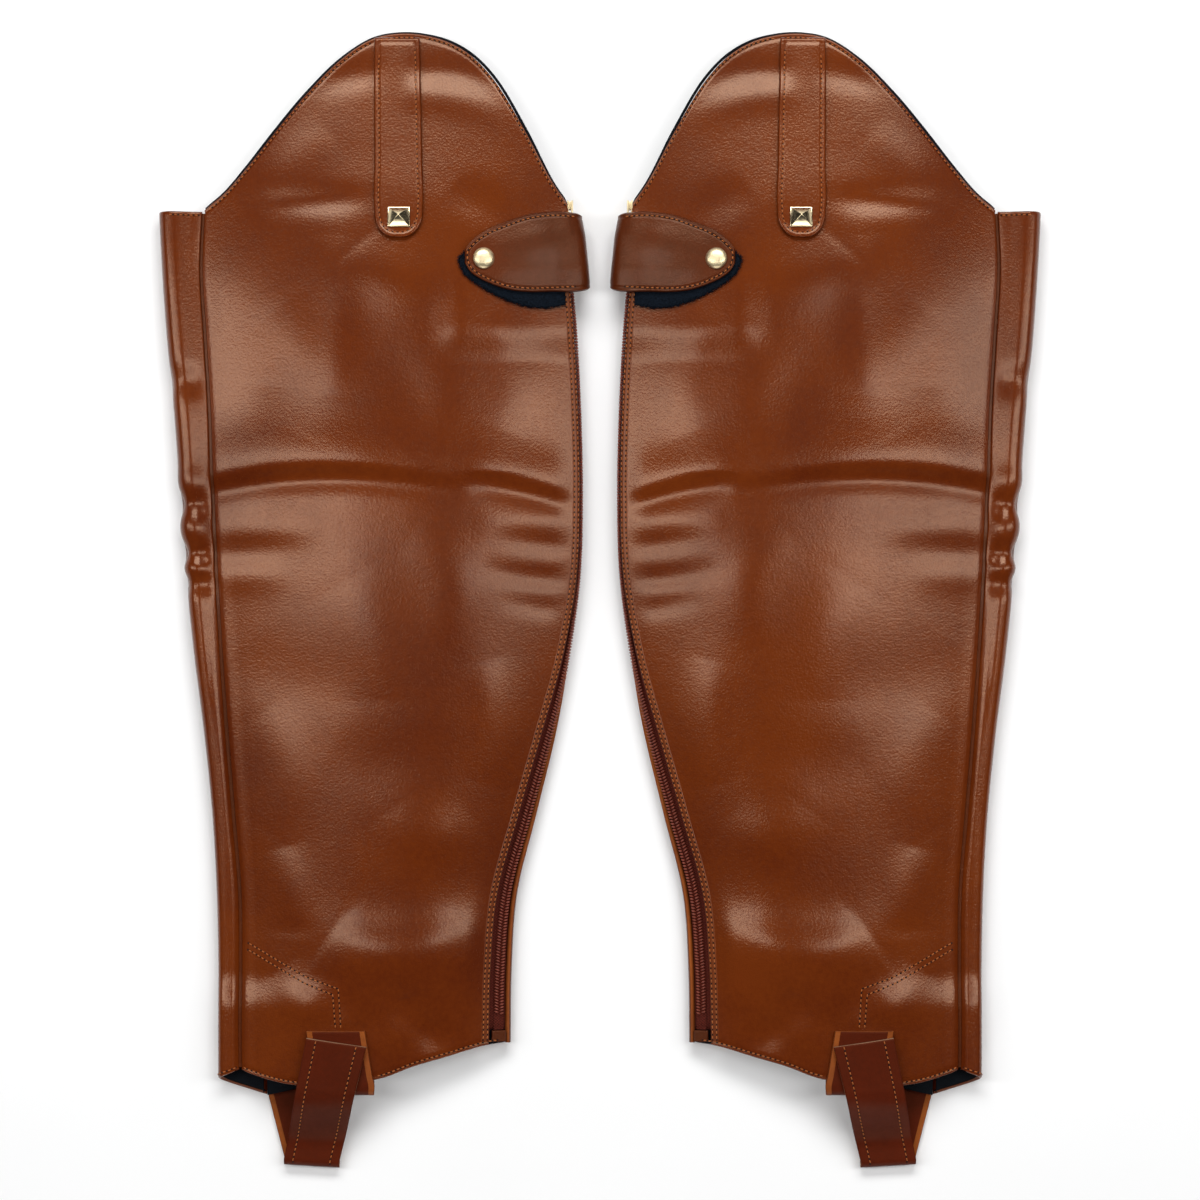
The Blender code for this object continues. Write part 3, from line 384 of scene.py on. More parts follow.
class GaiterColours(bpy.types.PropertyGroup):
    """Colours of the leathers, thread, zip and trim."""

    leather: colour_setting("Leather", "Outer panel, front band and loop strap", (0.140, 0.0255, 0.0034))
    leather_dark: colour_setting("Leather shade", "Darker tone that the leather is mottled with",
                                 (0.088, 0.0120, 0.0015))
    # The strap colour also paints shade into the front seam's allowance
    strap: colour_setting("Snap strap", "Darker leather of the snap strap and the zip's end tab",
                          (0.095, 0.0170, 0.0035))
    foot: colour_setting("Foot strap", "Red-brown leather of the foot strap", (0.088, 0.0100, 0.0022))
    thread: colour_setting("Thread", "Sewing thread", (0.46, 0.135, 0.032))
    tape: colour_setting("Zip tape", "Woven tape of the zip", (0.085, 0.011, 0.005))
    coil: colour_setting("Zip coil", "Nylon coil of the zip", (0.260, 0.048, 0.022))
    metal: colour_setting("Metal", "Snap cap, stud and slider", (0.90, 0.74, 0.46))
    lining: colour_setting("Lining and felt", "Blue-black lining and felt", (0.0035, 0.0055, 0.009))


def curve_through(rows, key, value):
    """A smooth curve through one column of a table, as a function of another column."""
    return smooth_curve([getattr(row, key) for row in rows], [getattr(row, value) for row in rows])


def smooth_curve(at, to):
    at = np.array(at, float)
    to = np.array(to, float)
    slope = np.gradient(to, at, axis=0)

    def read(where):
        where = np.clip(where, at[0], at[-1])
        i = np.clip(np.searchsorted(at, where) - 1, 0, len(at) - 2)
        span = at[i + 1] - at[i]
        t = (where - at[i]) / span
        if to.ndim > 1:
            shape = (-1,) + (1,) * (to.ndim - 1)
            t, span = t.reshape(shape), span.reshape(shape)
        low = to[i] * (1 + 2 * t) * (1 - t) ** 2 + slope[i] * span * t * (1 - t) ** 2
        high = to[i + 1] * t * t * (3 - 2 * t) - slope[i + 1] * span * t * t * (1 - t)
        return low + high

    return read


section_curves = {name: curve_through(SECTIONS, "y", name) for name in Section._fields if name != "y"}
spanish_top = curve_through(SPANISH_TOP, "x", "y")
outer_hem = curve_through(OUTER_HEM, "x", "y")
inner_hem = curve_through(INNER_HEM, "x", "y")
snap_fold_x = curve_through(SNAP_FOLD_X, "y", "x")
zip_turn = section_curves["zip_turn"]


def ease(t):
    t = np.clip(t, 0.0, 1.0)
    return t * t * (3 - 2 * t)


def bell(distance, width):
    """1 at no distance, and nearly nothing beyond twice the width."""
    return np.exp(-((distance / width) ** 2))


def groove(distance, size):
    depth, width = size
    return depth * bell(distance, width)


def lower_leg(y, knee):
    """1 down the lower leg, fading to about a third above the knee."""
    return 0.35 + 0.65 * ease((knee - y) / 90)


def distances(line):
    """How far along a line each of its points is."""
    return np.concatenate([[0.0], np.cumsum(np.linalg.norm(np.diff(line, axis=0), axis=-1))])


def mean_distances(grid, axis):
    """How far along a grid its rows or columns are, on average."""
    steps = np.linalg.norm(np.diff(grid, axis=axis), axis=-1).mean(axis=1 - axis)
    return np.concatenate([[0.0], np.cumsum(steps)])


def lift(x, y):
    """How far a strap below raises the tube at this place."""
    total = 0.0
    for row in LIFTS:
        inside_x = ease(1 - (row.x_from - x) / LIFT_SHOULDER) * ease(1 - (x - row.x_to) / LIFT_SHOULDER)
        inside_y = ease(1 - (row.y_from - y) / LIFT_SHOULDER) * ease(1 - (y - row.y_to) / LIFT_SHOULDER)
        total = total + row.height * inside_x * inside_y
    return total


def arc(first, middle, last, t):
    """A parabola's value at t, from its first, middle and last value."""
    control = 2 * middle - (first + last) / 2
    return first * (1 - t) ** 2 + 2 * control * t * (1 - t) + last * t * t


def fold_depth(x, y):
    """The depth of the outer panel's creases at these places."""
    total = np.zeros(np.shape(x))
    t = np.linspace(0, 1, FOLD_PIECES + 1)
    for fold in FOLDS:
        line_x = arc(fold.x0, fold.x1, fold.x2, t)
        line_y = arc(fold.y0, fold.y1, fold.y2, t)
        reach = FOLD_REACH * fold.width
        near = (x > line_x.min() - reach) & (x < line_x.max() + reach)
        near &= (y > line_y.min() - reach) & (y < line_y.max() + reach)
        if not near.any():
            continue
        at_x, at_y = x[near], y[near]
        away = np.full(at_x.shape, 1e6)
        share = np.zeros(at_x.shape)
        below = np.zeros(at_x.shape, bool)
        for i in range(FOLD_PIECES):
            step_x, step_y = line_x[i + 1] - line_x[i], line_y[i + 1] - line_y[i]
            along = (at_x - line_x[i]) * step_x + (at_y - line_y[i]) * step_y
            along = np.clip(along / (step_x**2 + step_y**2), 0, 1)
            here = np.hypot(at_x - line_x[i] - along * step_x, at_y - line_y[i] - along * step_y)
            share = np.where(here < away, (i + along) / FOLD_PIECES, share)
            below = np.where(here < away, at_y < line_y[i] + along * step_y, below)
            away = np.minimum(away, here)
        kept = arc(fold.start, 1, fold.end, share)
        width = np.where(below, fold.width * fold.lower, fold.width)
        total[near] += fold.depth * kept * bell(away, width)
    return total


def gather_depth(y):
    return sum(gather.depth * bell(y - gather.y, gather.width) for gather in GATHERS)


def section_at(y):
    return Section(y, *(float(section_curves[name](y)) for name in Section._fields[1:]))


class Skin:
    """A face of the tube read from fine sections. u is the distance along the section, w its share."""

    LEVELS = np.arange(-242.0, 264.0, 1.0)
    CELLS = 1200

    def __init__(self):
        lines = [self.line(section_at(y)) for y in self.LEVELS]
        share = np.linspace(0, 1, self.CELLS + 1)
        self.low = np.array([u[0] for u, _, _ in lines])
        self.high = np.array([u[-1] for u, _, _ in lines])
        spots = [np.concatenate([u[0] * (1 - share[:-1]), u[-1] * share]) for u, _, _ in lines]
        self.x = np.array([np.interp(at, u, x) for at, (u, x, _) in zip(spots, lines)])
        self.z = np.array([np.interp(at, u, z) for at, (u, _, z) in zip(spots, lines)])

    def read(self, table, y, u):
        row = np.clip(y - self.LEVELS[0], 0, len(self.LEVELS) - 1.001)
        high = np.interp(y, self.LEVELS, self.high)
        low = np.interp(y, self.LEVELS, self.low)
        share = np.clip(np.where(u >= 0, u / high, -u / np.minimum(low, -1e-6)), -1, 1)
        column = np.clip((share + 1) * self.CELLS, 0, 2 * self.CELLS - 1e-6)
        i, j = row.astype(int), column.astype(int)
        a, b = row - i, column - j
        first = table[i, j] * (1 - b) + table[i, j + 1] * b
        return first * (1 - a) + (table[i + 1, j] * (1 - b) + table[i + 1, j + 1] * b) * a

    def line(self, s):
        """The panels' line at one height, from the floor seam round the zip fold to the front seam."""
        roll_x = s.back_x + s.back_r * (1 - math.cos(ROLL_START))
        roll_z = s.back_r * (1 + math.sin(ROLL_START))
        v = np.linspace(1, 0, 700)
        rise = s.crown_z - (s.seam_z + roll_z) / 2
        top_x = s.seam_x + (roll_x - s.seam_x) * v
        top_z = s.seam_z + (roll_z - s.seam_z) * v + rise * (1 - np.abs(1 - 2 * v) ** CROWN_POWER)
        low_turn = np.linspace(-math.pi / 2, 0, 60)
        turn = np.concatenate([low_turn, np.linspace(0, ROLL_START, 44)[1:-1]])
        turn_x = s.back_x + s.back_r * (1 - np.cos(turn))
        turn_z = s.back_r * (1 + np.sin(turn))
        floor_x = np.linspace(s.under_x, s.back_x + s.back_r, 40)[:-1]
        x = np.concatenate([floor_x, turn_x, top_x])
        z = np.concatenate([np.zeros_like(floor_x), turn_z, top_z])
        u = np.concatenate([[0.0], np.cumsum(np.hypot(np.diff(x), np.diff(z)))])
        return u - u[len(floor_x) + len(low_turn) - 1], x, z

    def place(self, y, u):
        y, u = np.broadcast_arrays(np.asarray(y, float), np.asarray(u, float))
        x = self.read(self.x, y, u)
        clear_of_zip = ease((u - zip_turn(y) - ZIP_HALF - 1) / 12)
        z = self.read(self.z, y, u) - fold_depth(x, y) * clear_of_zip + lift(x, y)
        return np.stack((x, y, z), -1)

    def point(self, y, u, out=0.0, step=0.6):
        """Points of the outer face, moved out by so much, or in where out is negative."""
        y, u = np.broadcast_arrays(np.asarray(y, float), np.asarray(u, float))
        low = np.interp(y, self.LEVELS, self.low)
        high = np.interp(y, self.LEVELS, self.high)
        along_u = self.place(y, np.minimum(u + step, high)) - self.place(y, np.maximum(u - step, low))
        along_y = self.place(y + step, u) - self.place(y - step, u)
        normal = np.cross(along_u, along_y)
        normal /= np.linalg.norm(normal, axis=-1, keepdims=True)
        return self.place(y, u) + normal * np.expand_dims(np.broadcast_to(out, y.shape), -1)

    def u_at(self, x, y):
        """Where along the section the outer panel stands above x."""
        low = np.zeros(np.broadcast(x, y).shape)
        high = np.interp(y, self.LEVELS, self.high) + low
        for _ in range(26):
            middle = (low + high) / 2
            past = self.read(self.x, y + 0 * middle, middle) > x
            high = np.where(past, middle, high)
            low = np.where(past, low, middle)
        return (low + high) / 2

    def on_top(self, x, y, out):
        """The points above x, y on the outer panel, moved out."""
        x, y = np.broadcast_arrays(np.asarray(x, float), np.asarray(y, float))
        return self.point(y, self.u_at(x, y), out)

    def seam_u(self, y):
        return np.interp(y, self.LEVELS, self.high)

    def under_u(self, y):
        return np.interp(y, self.LEVELS, self.low)


class BandSkin(Skin):
    """The front band's outer face, u from the upper seam round the front fold to the seam on the floor."""

    def line(self, s):
        turn = np.linspace(math.pi / 2, -math.pi / 2, 90)
        top_x = s.front_x - s.front_r
        first = np.linspace(0, 1, 60)[:-1]
        start_x, start_z = s.seam_x + SEAM_GAP, s.seam_z
        rise = 2 * s.front_r - start_z
        last_x = np.linspace(top_x, s.under_x + SEAM_GAP, 30)[1:]
        x = np.concatenate([start_x + (top_x - start_x) * first, top_x + s.front_r * np.cos(turn), last_x])
        front_z = s.front_r * (1 + np.sin(turn))
        z = np.concatenate([start_z + rise * ease(first), front_z, np.zeros_like(last_x)])
        u = np.concatenate([[0.0], np.cumsum(np.hypot(np.diff(x), np.diff(z)))])
        return u, x, z

    def place(self, y, u):
        y, u = np.broadcast_arrays(np.asarray(y, float), np.asarray(u, float))
        x, z = self.read(self.x, y, u), self.read(self.z, y, u)
        s = section_curves
        middle_x = s["front_x"](y) - s["front_r"](y)
        turn = np.arctan2(z - s["front_r"](y), np.maximum(x - middle_x, 0) + 1e-9)
        share = np.clip(u / self.seam_u(y), 0, 1)
        near_edge = ease(share / 0.12) * ease((1 - share) / 0.3)
        weight = np.where(turn < 0, 0.5 + 0.5 * np.sin(turn), 1.0) * near_edge
        pulled_in = gather_depth(y) * weight
        x = x - pulled_in * np.cos(turn)
        z = z - pulled_in * np.sin(turn)
        z = z + lower_leg(y, 40) * (0.9 * bell(u - 2.6, 1.3) - 0.5 * bell(u - 6.2, 1.8))
        return np.stack((x, y, np.maximum(z, 0.0) + lift(x, y)), -1)


panel = Skin()
band = BandSkin()


def clustered(length, ends, cells):
    """Stations from 0 to length: the given distances in from both ends, and even ones between them."""
    ends = np.array(ends, float)
    even = np.linspace(ends[-1], length - ends[-1], cells + 1)[1:-1]
    return np.concatenate([ends, even, length - ends[::-1]])


def refined(points, along, across):
    """A coarse grid of points made fine, with so many cells along and across."""
    for axis, cells in enumerate((along, across)):
        at = mean_distances(points, axis)
        where = np.linspace(0, at[-1], cells + 1)
        points = np.moveaxis(smooth_curve(at, np.moveaxis(points, axis, 0))(where), 0, axis)
    return points


def grid_normals(points):
    along = np.gradient(points, axis=0)
    across = np.gradient(points, axis=1)
    normal = np.cross(across, along)
    return normal / np.maximum(np.linalg.norm(normal, axis=-1, keepdims=True), 1e-9)


def edge_distance(points):
    """How far each point of a grid is from the grid's nearest edge."""
    rim = np.concatenate([points[0], points[-1], points[:, 0], points[:, -1]])
    return np.linalg.norm(points[:, :, None, :] - rim[None, None, ::2, :], axis=-1).min(axis=-1)


def rolled_edges(points, radii):
    """Sinks the rim of a grid so that its edges look turned, by the radii of its four edges."""
    along = np.linalg.norm(np.diff(points, axis=0), axis=-1)
    across = np.linalg.norm(np.diff(points, axis=1), axis=-1)
    down = np.concatenate([np.zeros((1, points.shape[1])), np.cumsum(along, axis=0)])
    side = np.concatenate([np.zeros((points.shape[0], 1)), np.cumsum(across, axis=1)], axis=1)
    sink = np.zeros(points.shape[:2])
    for radius, distance in zip(radii, (down, down[-1] - down, side, side[:, -1:] - side)):
        if radius:
            near = np.clip(1 - distance / radius, 0, 1)
            sink = np.maximum(sink, radius * (1 - np.sqrt(1 - near * near)))
    return points - grid_normals(points) * sink[..., None]


# Materials


def node_group(name, inputs, outputs):
    """A new shader node group with its named sockets, and its input and output nodes."""
    group = bpy.data.node_groups.new(name, "ShaderNodeTree")
    for kind, sockets in (("INPUT", inputs), ("OUTPUT", outputs)):
        for socket, data, default in sockets:
            made = group.interface.new_socket(name=socket, in_out=kind, socket_type=data)
            if default is not None:
                made.default_value = default
    return group, group.nodes.new("NodeGroupInput"), group.nodes.new("NodeGroupOutput")


def connect(tree, node, inputs):
    """Links or sets the named inputs of a node."""
    for key, value in inputs.items():
        if isinstance(value, bpy.types.NodeSocket):
            tree.links.new(value, node.inputs[key])
        else:
            node.inputs[key].default_value = value


def add_node(tree, kind, inputs, **settings):
    node = tree.nodes.new(kind)
    for key, value in settings.items():
        setattr(node, key, value)
    connect(tree, node, inputs)
    return node


def math_node(tree, operation, *values):
    return add_node(tree, "ShaderNodeMath", dict(enumerate(values)), operation=operation).outputs[0]


def noise(tree, vector, scale, detail=2.0, roughness=0.5):
    inputs = {"Vector": vector, "Scale": scale, "Detail": detail, "Roughness": roughness}
    return add_node(tree, "ShaderNodeTexNoise", inputs)


def remap(tree, value, low, high, to_low=0.0, to_high=1.0):
    inputs = {"Value": value, "From Min": low, "From Max": high, "To Min": to_low, "To Max": to_high}
    return add_node(tree, "ShaderNodeMapRange", inputs, clamp=True).outputs[0]


def leather_grain_group():
    """Pebbled grain with pores and fine wrinkles, a slow mottling, and small scuffs."""
    group, given, put = node_group(
        "leather grain",
        [("Vector", "NodeSocketVector", None), ("Grain Size", "NodeSocketFloat", 0.0009)],
        [(name, "NodeSocketFloat", None) for name in ("Height", "Tone", "Scuff")])
    vector = given.outputs["Vector"]
    cells = math_node(group, "DIVIDE", 1.0, given.outputs["Grain Size"])
    pebble = add_node(group, "ShaderNodeTexVoronoi", {"Vector": vector, "Scale": cells, "Randomness": 0.9},
                      feature="SMOOTH_F1")
    fine = noise(group, vector, math_node(group, "MULTIPLY", cells, 1.9), 3.0, 0.6)
    wrinkle = noise(group, vector, 260.0, 4.0, 0.62)
    height = math_node(group, "MULTIPLY_ADD", fine.outputs["Fac"], 0.5,
                       math_node(group, "MULTIPLY", pebble.outputs["Distance"], -0.9))
    height = math_node(group, "ADD", height, math_node(group, "MULTIPLY", wrinkle.outputs["Fac"], 0.7))
    broad = noise(group, vector, 16.0, 3.0, 0.55)
    small = noise(group, vector, 420.0, 3.0, 0.6)
    tone = math_node(group, "ADD", math_node(group, "MULTIPLY", broad.outputs["Fac"], 0.72),
                     math_node(group, "MULTIPLY", small.outputs["Fac"], 0.28))
    squeezed = add_node(group, "ShaderNodeMapping", {"Vector": vector, "Scale": (1.0, 0.22, 1.0),
                                                    "Rotation": (0.0, 0.0, 0.35)})
    scratch = noise(group, squeezed.outputs["Vector"], 900.0, 2.0, 0.5)
    connect(group, put, {"Height": height, "Tone": remap(group, tone, 0.36, 0.64),
                         "Scuff": remap(group, scratch.outputs["Fac"], 0.62, 0.74)})
    return group


def weave_group():
    """A plain weave's height and thread tone from a piece's own UV map, in metres."""
    group, given, put = node_group(
        "weave",
        [("Vector", "NodeSocketVector", None), ("Thread Size", "NodeSocketFloat", 0.0006)],
        [(name, "NodeSocketFloat", None) for name in ("Height", "Tone")])
    turns = math_node(group, "DIVIDE", math.pi, given.outputs["Thread Size"])
    split = add_node(group, "ShaderNodeSeparateXYZ", {"Vector": given.outputs["Vector"]})
    across = math_node(group, "SINE", math_node(group, "MULTIPLY", split.outputs["X"], turns))
    along = math_node(group, "SINE", math_node(group, "MULTIPLY", split.outputs["Y"], turns))
    height = math_node(group, "MULTIPLY", across, along)
    speck = noise(group, given.outputs["Vector"], 1400.0, 2.0)
    tone = math_node(group, "ADD", math_node(group, "MULTIPLY", height, 0.25), speck.outputs["Fac"])
    connect(group, put, {"Height": height, "Tone": remap(group, tone, 0.2, 0.9)})
    return group


def shader_of(name):
    material = bpy.data.materials.new(name)
    material.use_nodes = True
    tree = material.node_tree
    return material, tree, tree.nodes["Principled BSDF"]


def place_vector(tree):
    return add_node(tree, "ShaderNodeTexCoord", {}).outputs["Object"]


def mixed_colour(tree, share, first, second):
    mix = add_node(tree, "ShaderNodeMix", {}, data_type="RGBA")
    sockets = {socket.identifier: socket for socket in mix.inputs}
    sockets["A_Color"].default_value = (*first, 1)
    sockets["B_Color"].default_value = (*second, 1)
    tree.links.new(share, sockets["Factor_Float"])
    return next(socket for socket in mix.outputs if socket.identifier == "Result_Color")


def bumped(tree, height, strength, distance):
    inputs = {"Height": height, "Strength": strength, "Distance": distance}
    return add_node(tree, "ShaderNodeBump", inputs).outputs[0]


def leather_material(name, colour, shade, rough=0.22, bump=0.28, grain=1.0, specular=0.48, coat=0.1):
    """Oiled leather: mottled brown, pebbled grain and small scuffs that dull its gloss."""
    material, tree, shader = shader_of(name)
    size = bpy.context.scene.gaiter_sizes.grain_size * grain
    group = bpy.data.node_groups.get("leather grain") or leather_grain_group()
    worn = add_node(tree, "ShaderNodeGroup", {}, node_tree=group)
    connect(tree, worn, {"Vector": place_vector(tree), "Grain Size": size})
    mottled = remap(tree, worn.outputs["Tone"], 0.0, 1.0, rough + 0.05, rough - 0.04)
    connect(tree, shader, {
        "Base Color": mixed_colour(tree, worn.outputs["Tone"], shade, colour),
        "Roughness": math_node(tree, "MULTIPLY_ADD", worn.outputs["Scuff"], 0.03, mottled),
        "Specular IOR Level": specular,
        "Specular Tint": (1.0, 0.66, 0.42, 1.0),
        "Coat Weight": coat,
        "Coat Tint": (1.0, 0.85, 0.72, 1.0),
        "Coat Roughness": 0.16,
        "Normal": bumped(tree, worn.outputs["Height"], bump, 0.00025),
    })
    return material


def cloth_material(name, colour, shade, rough, thread):
    """Woven tape or lining, its pattern on the piece's own UV map."""
    material, tree, shader = shader_of(name)
    group = bpy.data.node_groups.get("weave") or weave_group()
    woven = add_node(tree, "ShaderNodeGroup", {}, node_tree=group)
    connect(tree, woven, {"Vector": add_node(tree, "ShaderNodeUVMap", {}).outputs[0], "Thread Size": thread})
    connect(tree, shader, {
        "Base Color": mixed_colour(tree, woven.outputs["Tone"], shade, colour),
        "Roughness": rough,
        "Specular IOR Level": 0.15,
        "Normal": bumped(tree, woven.outputs["Height"], 0.6, 0.0002),
    })
    return material


def fibre_material(name, colour, shade, scale, rough, bump=0.5, specular=0.2):
    """Felt, thread or nylon: a fine random fibre."""
    material, tree, shader = shader_of(name)
    fibre = noise(tree, place_vector(tree), scale, 3.0, 0.65)
    connect(tree, shader, {
        "Base Color": mixed_colour(tree, remap(tree, fibre.outputs["Fac"], 0.35, 0.65), shade, colour),
        "Roughness": rough,
        "Specular IOR Level": specular,
        "Normal": bumped(tree, fibre.outputs["Fac"], bump, 0.0002),
    })
    return material


def metal_material(name, colour, smoothest, roughest):
    """Satin light gold with fine handling marks."""
    material, tree, shader = shader_of(name)
    vector = place_vector(tree)
    mark = noise(tree, vector, 700.0, 4.0, 0.6)
    cloud = noise(tree, vector, 90.0, 2.0)
    share = remap(tree, cloud.outputs["Fac"], 0.3, 0.7)
    connect(tree, shader, {
        "Base Color": mixed_colour(tree, share, scaled(colour, 0.82), colour),
        "Metallic": 1.0,
        "Roughness": remap(tree, mark.outputs["Fac"], 0.3, 0.7, smoothest, roughest),
        "Normal": bumped(tree, mark.outputs["Fac"], 0.02, 0.0001),
    })
    return material


def floor_material(name):
    material, tree, shader = shader_of(name)
    speck = noise(tree, place_vector(tree), 6.0, 2.0)
    share = remap(tree, speck.outputs["Fac"], 0.3, 0.7)
    connect(tree, shader, {
        "Base Color": mixed_colour(tree, share, (0.92, 0.92, 0.92), (0.94, 0.94, 0.94)),
        "Roughness": 0.9,
        "Specular IOR Level": 0.1,
    })
    return material


def scaled(colour, by):
    return tuple(min(1.0, value * by) for value in colour)


def finish(name):
    """The named finish, made the first time that a piece asks for it."""
    made = bpy.data.materials.get(name)
    if made:
        return made
    c = bpy.context.scene.gaiter_colours
    lining_shade = scaled(c.lining, 0.5)
    recipes = {
        # colour, shade, rough, bump, grain, specular, coat
        "outer_leather": (leather_material, c.leather, c.leather_dark),
        "edge_leather": (leather_material, c.leather, c.leather_dark, 0.4),
        "snap_leather": (leather_material, c.strap, scaled(c.strap, 0.6), 0.34, 0.4, 0.9, 0.3, 0.05),
        "inner_leather": (leather_material, scaled(c.leather, 0.8), scaled(c.leather_dark, 0.8), 0.42),
        "foot_leather": (leather_material, c.foot, scaled(c.foot, 0.65), 0.5, 0.2, 0.6, 0.15, 0.0),
        "turned_edge": (leather_material, (0.30, 0.075, 0.012), (0.17, 0.038, 0.007),
                        0.5, 0.2, 0.6, 0.3, 0.0),
        "cut_edge": (leather_material, (0.34, 0.20, 0.12), (0.22, 0.11, 0.06), 0.6, 0.2, 0.6, 0.3, 0.0),
        # colour, shade, scale, rough, bump, specular
        "thread": (fibre_material, c.thread, scaled(c.thread, 0.6), 2600.0, 0.55),
        # The needle holes' near-black colour is painted shade, standing in for the dark inside each hole
        "needle_hole": (fibre_material, (0.020, 0.005, 0.003), (0.010, 0.003, 0.002), 1200.0, 0.8),
        "wool_felt": (fibre_material, scaled(c.lining, 1.8), lining_shade, 1500.0, 0.95, 1.0, 0.05),
        "coil_nylon": (fibre_material, c.coil, scaled(c.coil, 0.6), 1200.0, 0.42, 0.15, 0.5),
        # colour, shade, rough, thread
        "lining_cloth": (cloth_material, c.lining, lining_shade, 0.85, 0.0005),
        "tape_cloth": (cloth_material, scaled(c.tape, 1.4), scaled(c.tape, 0.5), 0.8, 0.0006),
        # colour, smoothest, roughest
        "gold": (metal_material, c.metal, 0.38, 0.48),
        "polished_gold": (metal_material, scaled(c.metal, 0.9), 0.14, 0.24),
        "studio_floor": (floor_material,),
    }
    maker, *settings = recipes[name]
    return maker(name, *settings)


# Meshes


def grid_mesh(points):
    """A grid whose corners are moved to points[row, column], in metres, its UV map in metres too."""
    rows, columns = points.shape[0] - 1, points.shape[1] - 1
    mesh = bmesh.new()
    layer = mesh.loops.layers.uv.new("UVMap")
    bmesh.ops.create_grid(mesh, x_segments=columns, y_segments=rows, size=0.5)
    down, side = (mean_distances(points, axis) * MM for axis in (0, 1))
    metres = points * MM
    spots = {}
    for vertex in mesh.verts:
        column = round((vertex.co.x + 0.5) * columns)
        row = round((vertex.co.y + 0.5) * rows)
        vertex.co = metres[row, column]
        spots[vertex] = (side[column], down[row])
    for face in mesh.faces:
        for loop in face.loops:
            loop[layer].uv = spots[loop.vert]
    return mesh


def ribbon(path, normal, width, high):
    """Points of a narrow crowned strip along a path that lies on a surface."""
    tangent = np.gradient(path, axis=0)
    tangent /= np.linalg.norm(tangent, axis=-1, keepdims=True)
    across = np.cross(tangent, normal)
    across /= np.linalg.norm(across, axis=-1, keepdims=True)
    rows = [path + across * (width / 2 * math.cos(angle)) + normal * (high * math.sin(angle))
            for angle in np.linspace(0, math.pi, 9)]
    return np.stack(rows, axis=1)


def along_path(path, normal, pitch, start=0.5):
    """Stations spaced evenly along a path: points, tangents and normals."""
    at = distances(path)
    count = max(2, round(at[-1] / pitch))
    where = (np.arange(count) + start) * at[-1] / count
    tangent = np.gradient(path, at, axis=0)

    def read(values):
        return np.stack([np.interp(where, at, values[:, i]) for i in range(3)], axis=-1)

    return read(path), read(tangent), read(normal)


def frames_at(points, tangents, normals):
    """Turning matrices with X along the path and Z out of the surface."""
    for point, along, up in zip(points, tangents, normals):
        along = Vector(along).normalized()
        up = Vector(up)
        up = (up - along * up.dot(along)).normalized()
        turn = Matrix((along, up.cross(along), up)).transposed().to_4x4()
        yield Matrix.Translation(Vector(point) * MM) @ turn


def add_pips(mesh, matrices, size, turn=0.0):
    """Small long beads, such as stitches, one for each frame."""
    shape = Matrix.Rotation(turn, 4, "Z") @ Matrix.Diagonal((*(Vector(size) * MM / 2), 1))
    for matrix in matrices:
        bmesh.ops.create_icosphere(mesh, subdivisions=1, radius=1.0, matrix=matrix @ shape)


def box_mesh(low, high, edge=0.0):
    mesh = bmesh.new()
    bmesh.ops.create_cube(mesh, size=1)
    size = Vector(high) - Vector(low)
    bmesh.ops.transform(mesh, matrix=Matrix.Diagonal((*size, 1)), verts=mesh.verts)
    bmesh.ops.translate(mesh, vec=(Vector(high) + Vector(low)) / 2, verts=mesh.verts)
    if edge:
        bmesh.ops.bevel(mesh, geom=mesh.edges[:], offset=edge, segments=3, profile=0.5, affect="EDGES",
                        material=-1)
    bmesh.ops.scale(mesh, vec=(MM, MM, MM), verts=mesh.verts)
    return mesh


def seat(x, y, out):
    """A frame on the outer panel, its Z axis out of the surface."""
    place = Vector(panel.on_top(x, y, out))
    up = (Vector(panel.on_top(x, y, out + 1)) - place).normalized()
    across = (Vector((1, 0, 0)) - up * up.x).normalized()
    turn = Matrix((across, up.cross(across), up)).transposed().to_4x4()
    return Matrix.Translation(place * MM) @ turn


def join(mesh, other):
    """Adds another mesh to this one and frees it."""
    data = bpy.data.meshes.new("joined")
    other.to_mesh(data)
    other.free()
    mesh.from_mesh(data)
    bpy.data.meshes.remove(data)


def add_piece(name, mesh, material, body="pair", wall=0.0, offset=-1.0, replaces=(), rim=None,
              inside=None, smooth_angle=50):
    """One mesh made into a left and a right piece, mirrored about the middle of the pair."""
    made = []
    for side, sign in SIDES:
        copy = mesh.copy()
        if sign < 0:
            bmesh.ops.scale(copy, vec=(-1, 1, 1), verts=copy.verts)
            bmesh.ops.reverse_faces(copy, faces=copy.faces)
        data = bpy.data.meshes.new(f"{side}_{name}")
        copy.to_mesh(data)
        copy.free()
        data.shade_smooth()
        data.set_sharp_from_angle(angle=math.radians(smooth_angle))
        data.materials.append(finish(material))
        piece = bpy.data.objects.new(data.name, data)
        bpy.context.scene.collection.objects.link(piece)
        if wall:
            shell = piece.modifiers.new("wall", "SOLIDIFY")
            shell.thickness = wall * MM
            shell.offset = offset
            shell.use_even_offset = True
            for key, other in (("material_offset_rim", rim), ("material_offset", inside)):
                if other:
                    if data.materials.find(other) < 0:
                        data.materials.append(finish(other))
                    setattr(shell, key, data.materials.find(other))
        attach(piece, body.replace("SIDE", side))
        if replaces:
            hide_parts(*(f"{side}_{node}" for node in replaces))
        made.append(piece)
    mesh.free()
    return made


def declare_sheets(pieces, area=None, rests_on=()):
    for piece, (side, _) in zip(pieces, SIDES):
        under = [name.replace("SIDE", side) for name in rests_on]


# Outer panel and front band

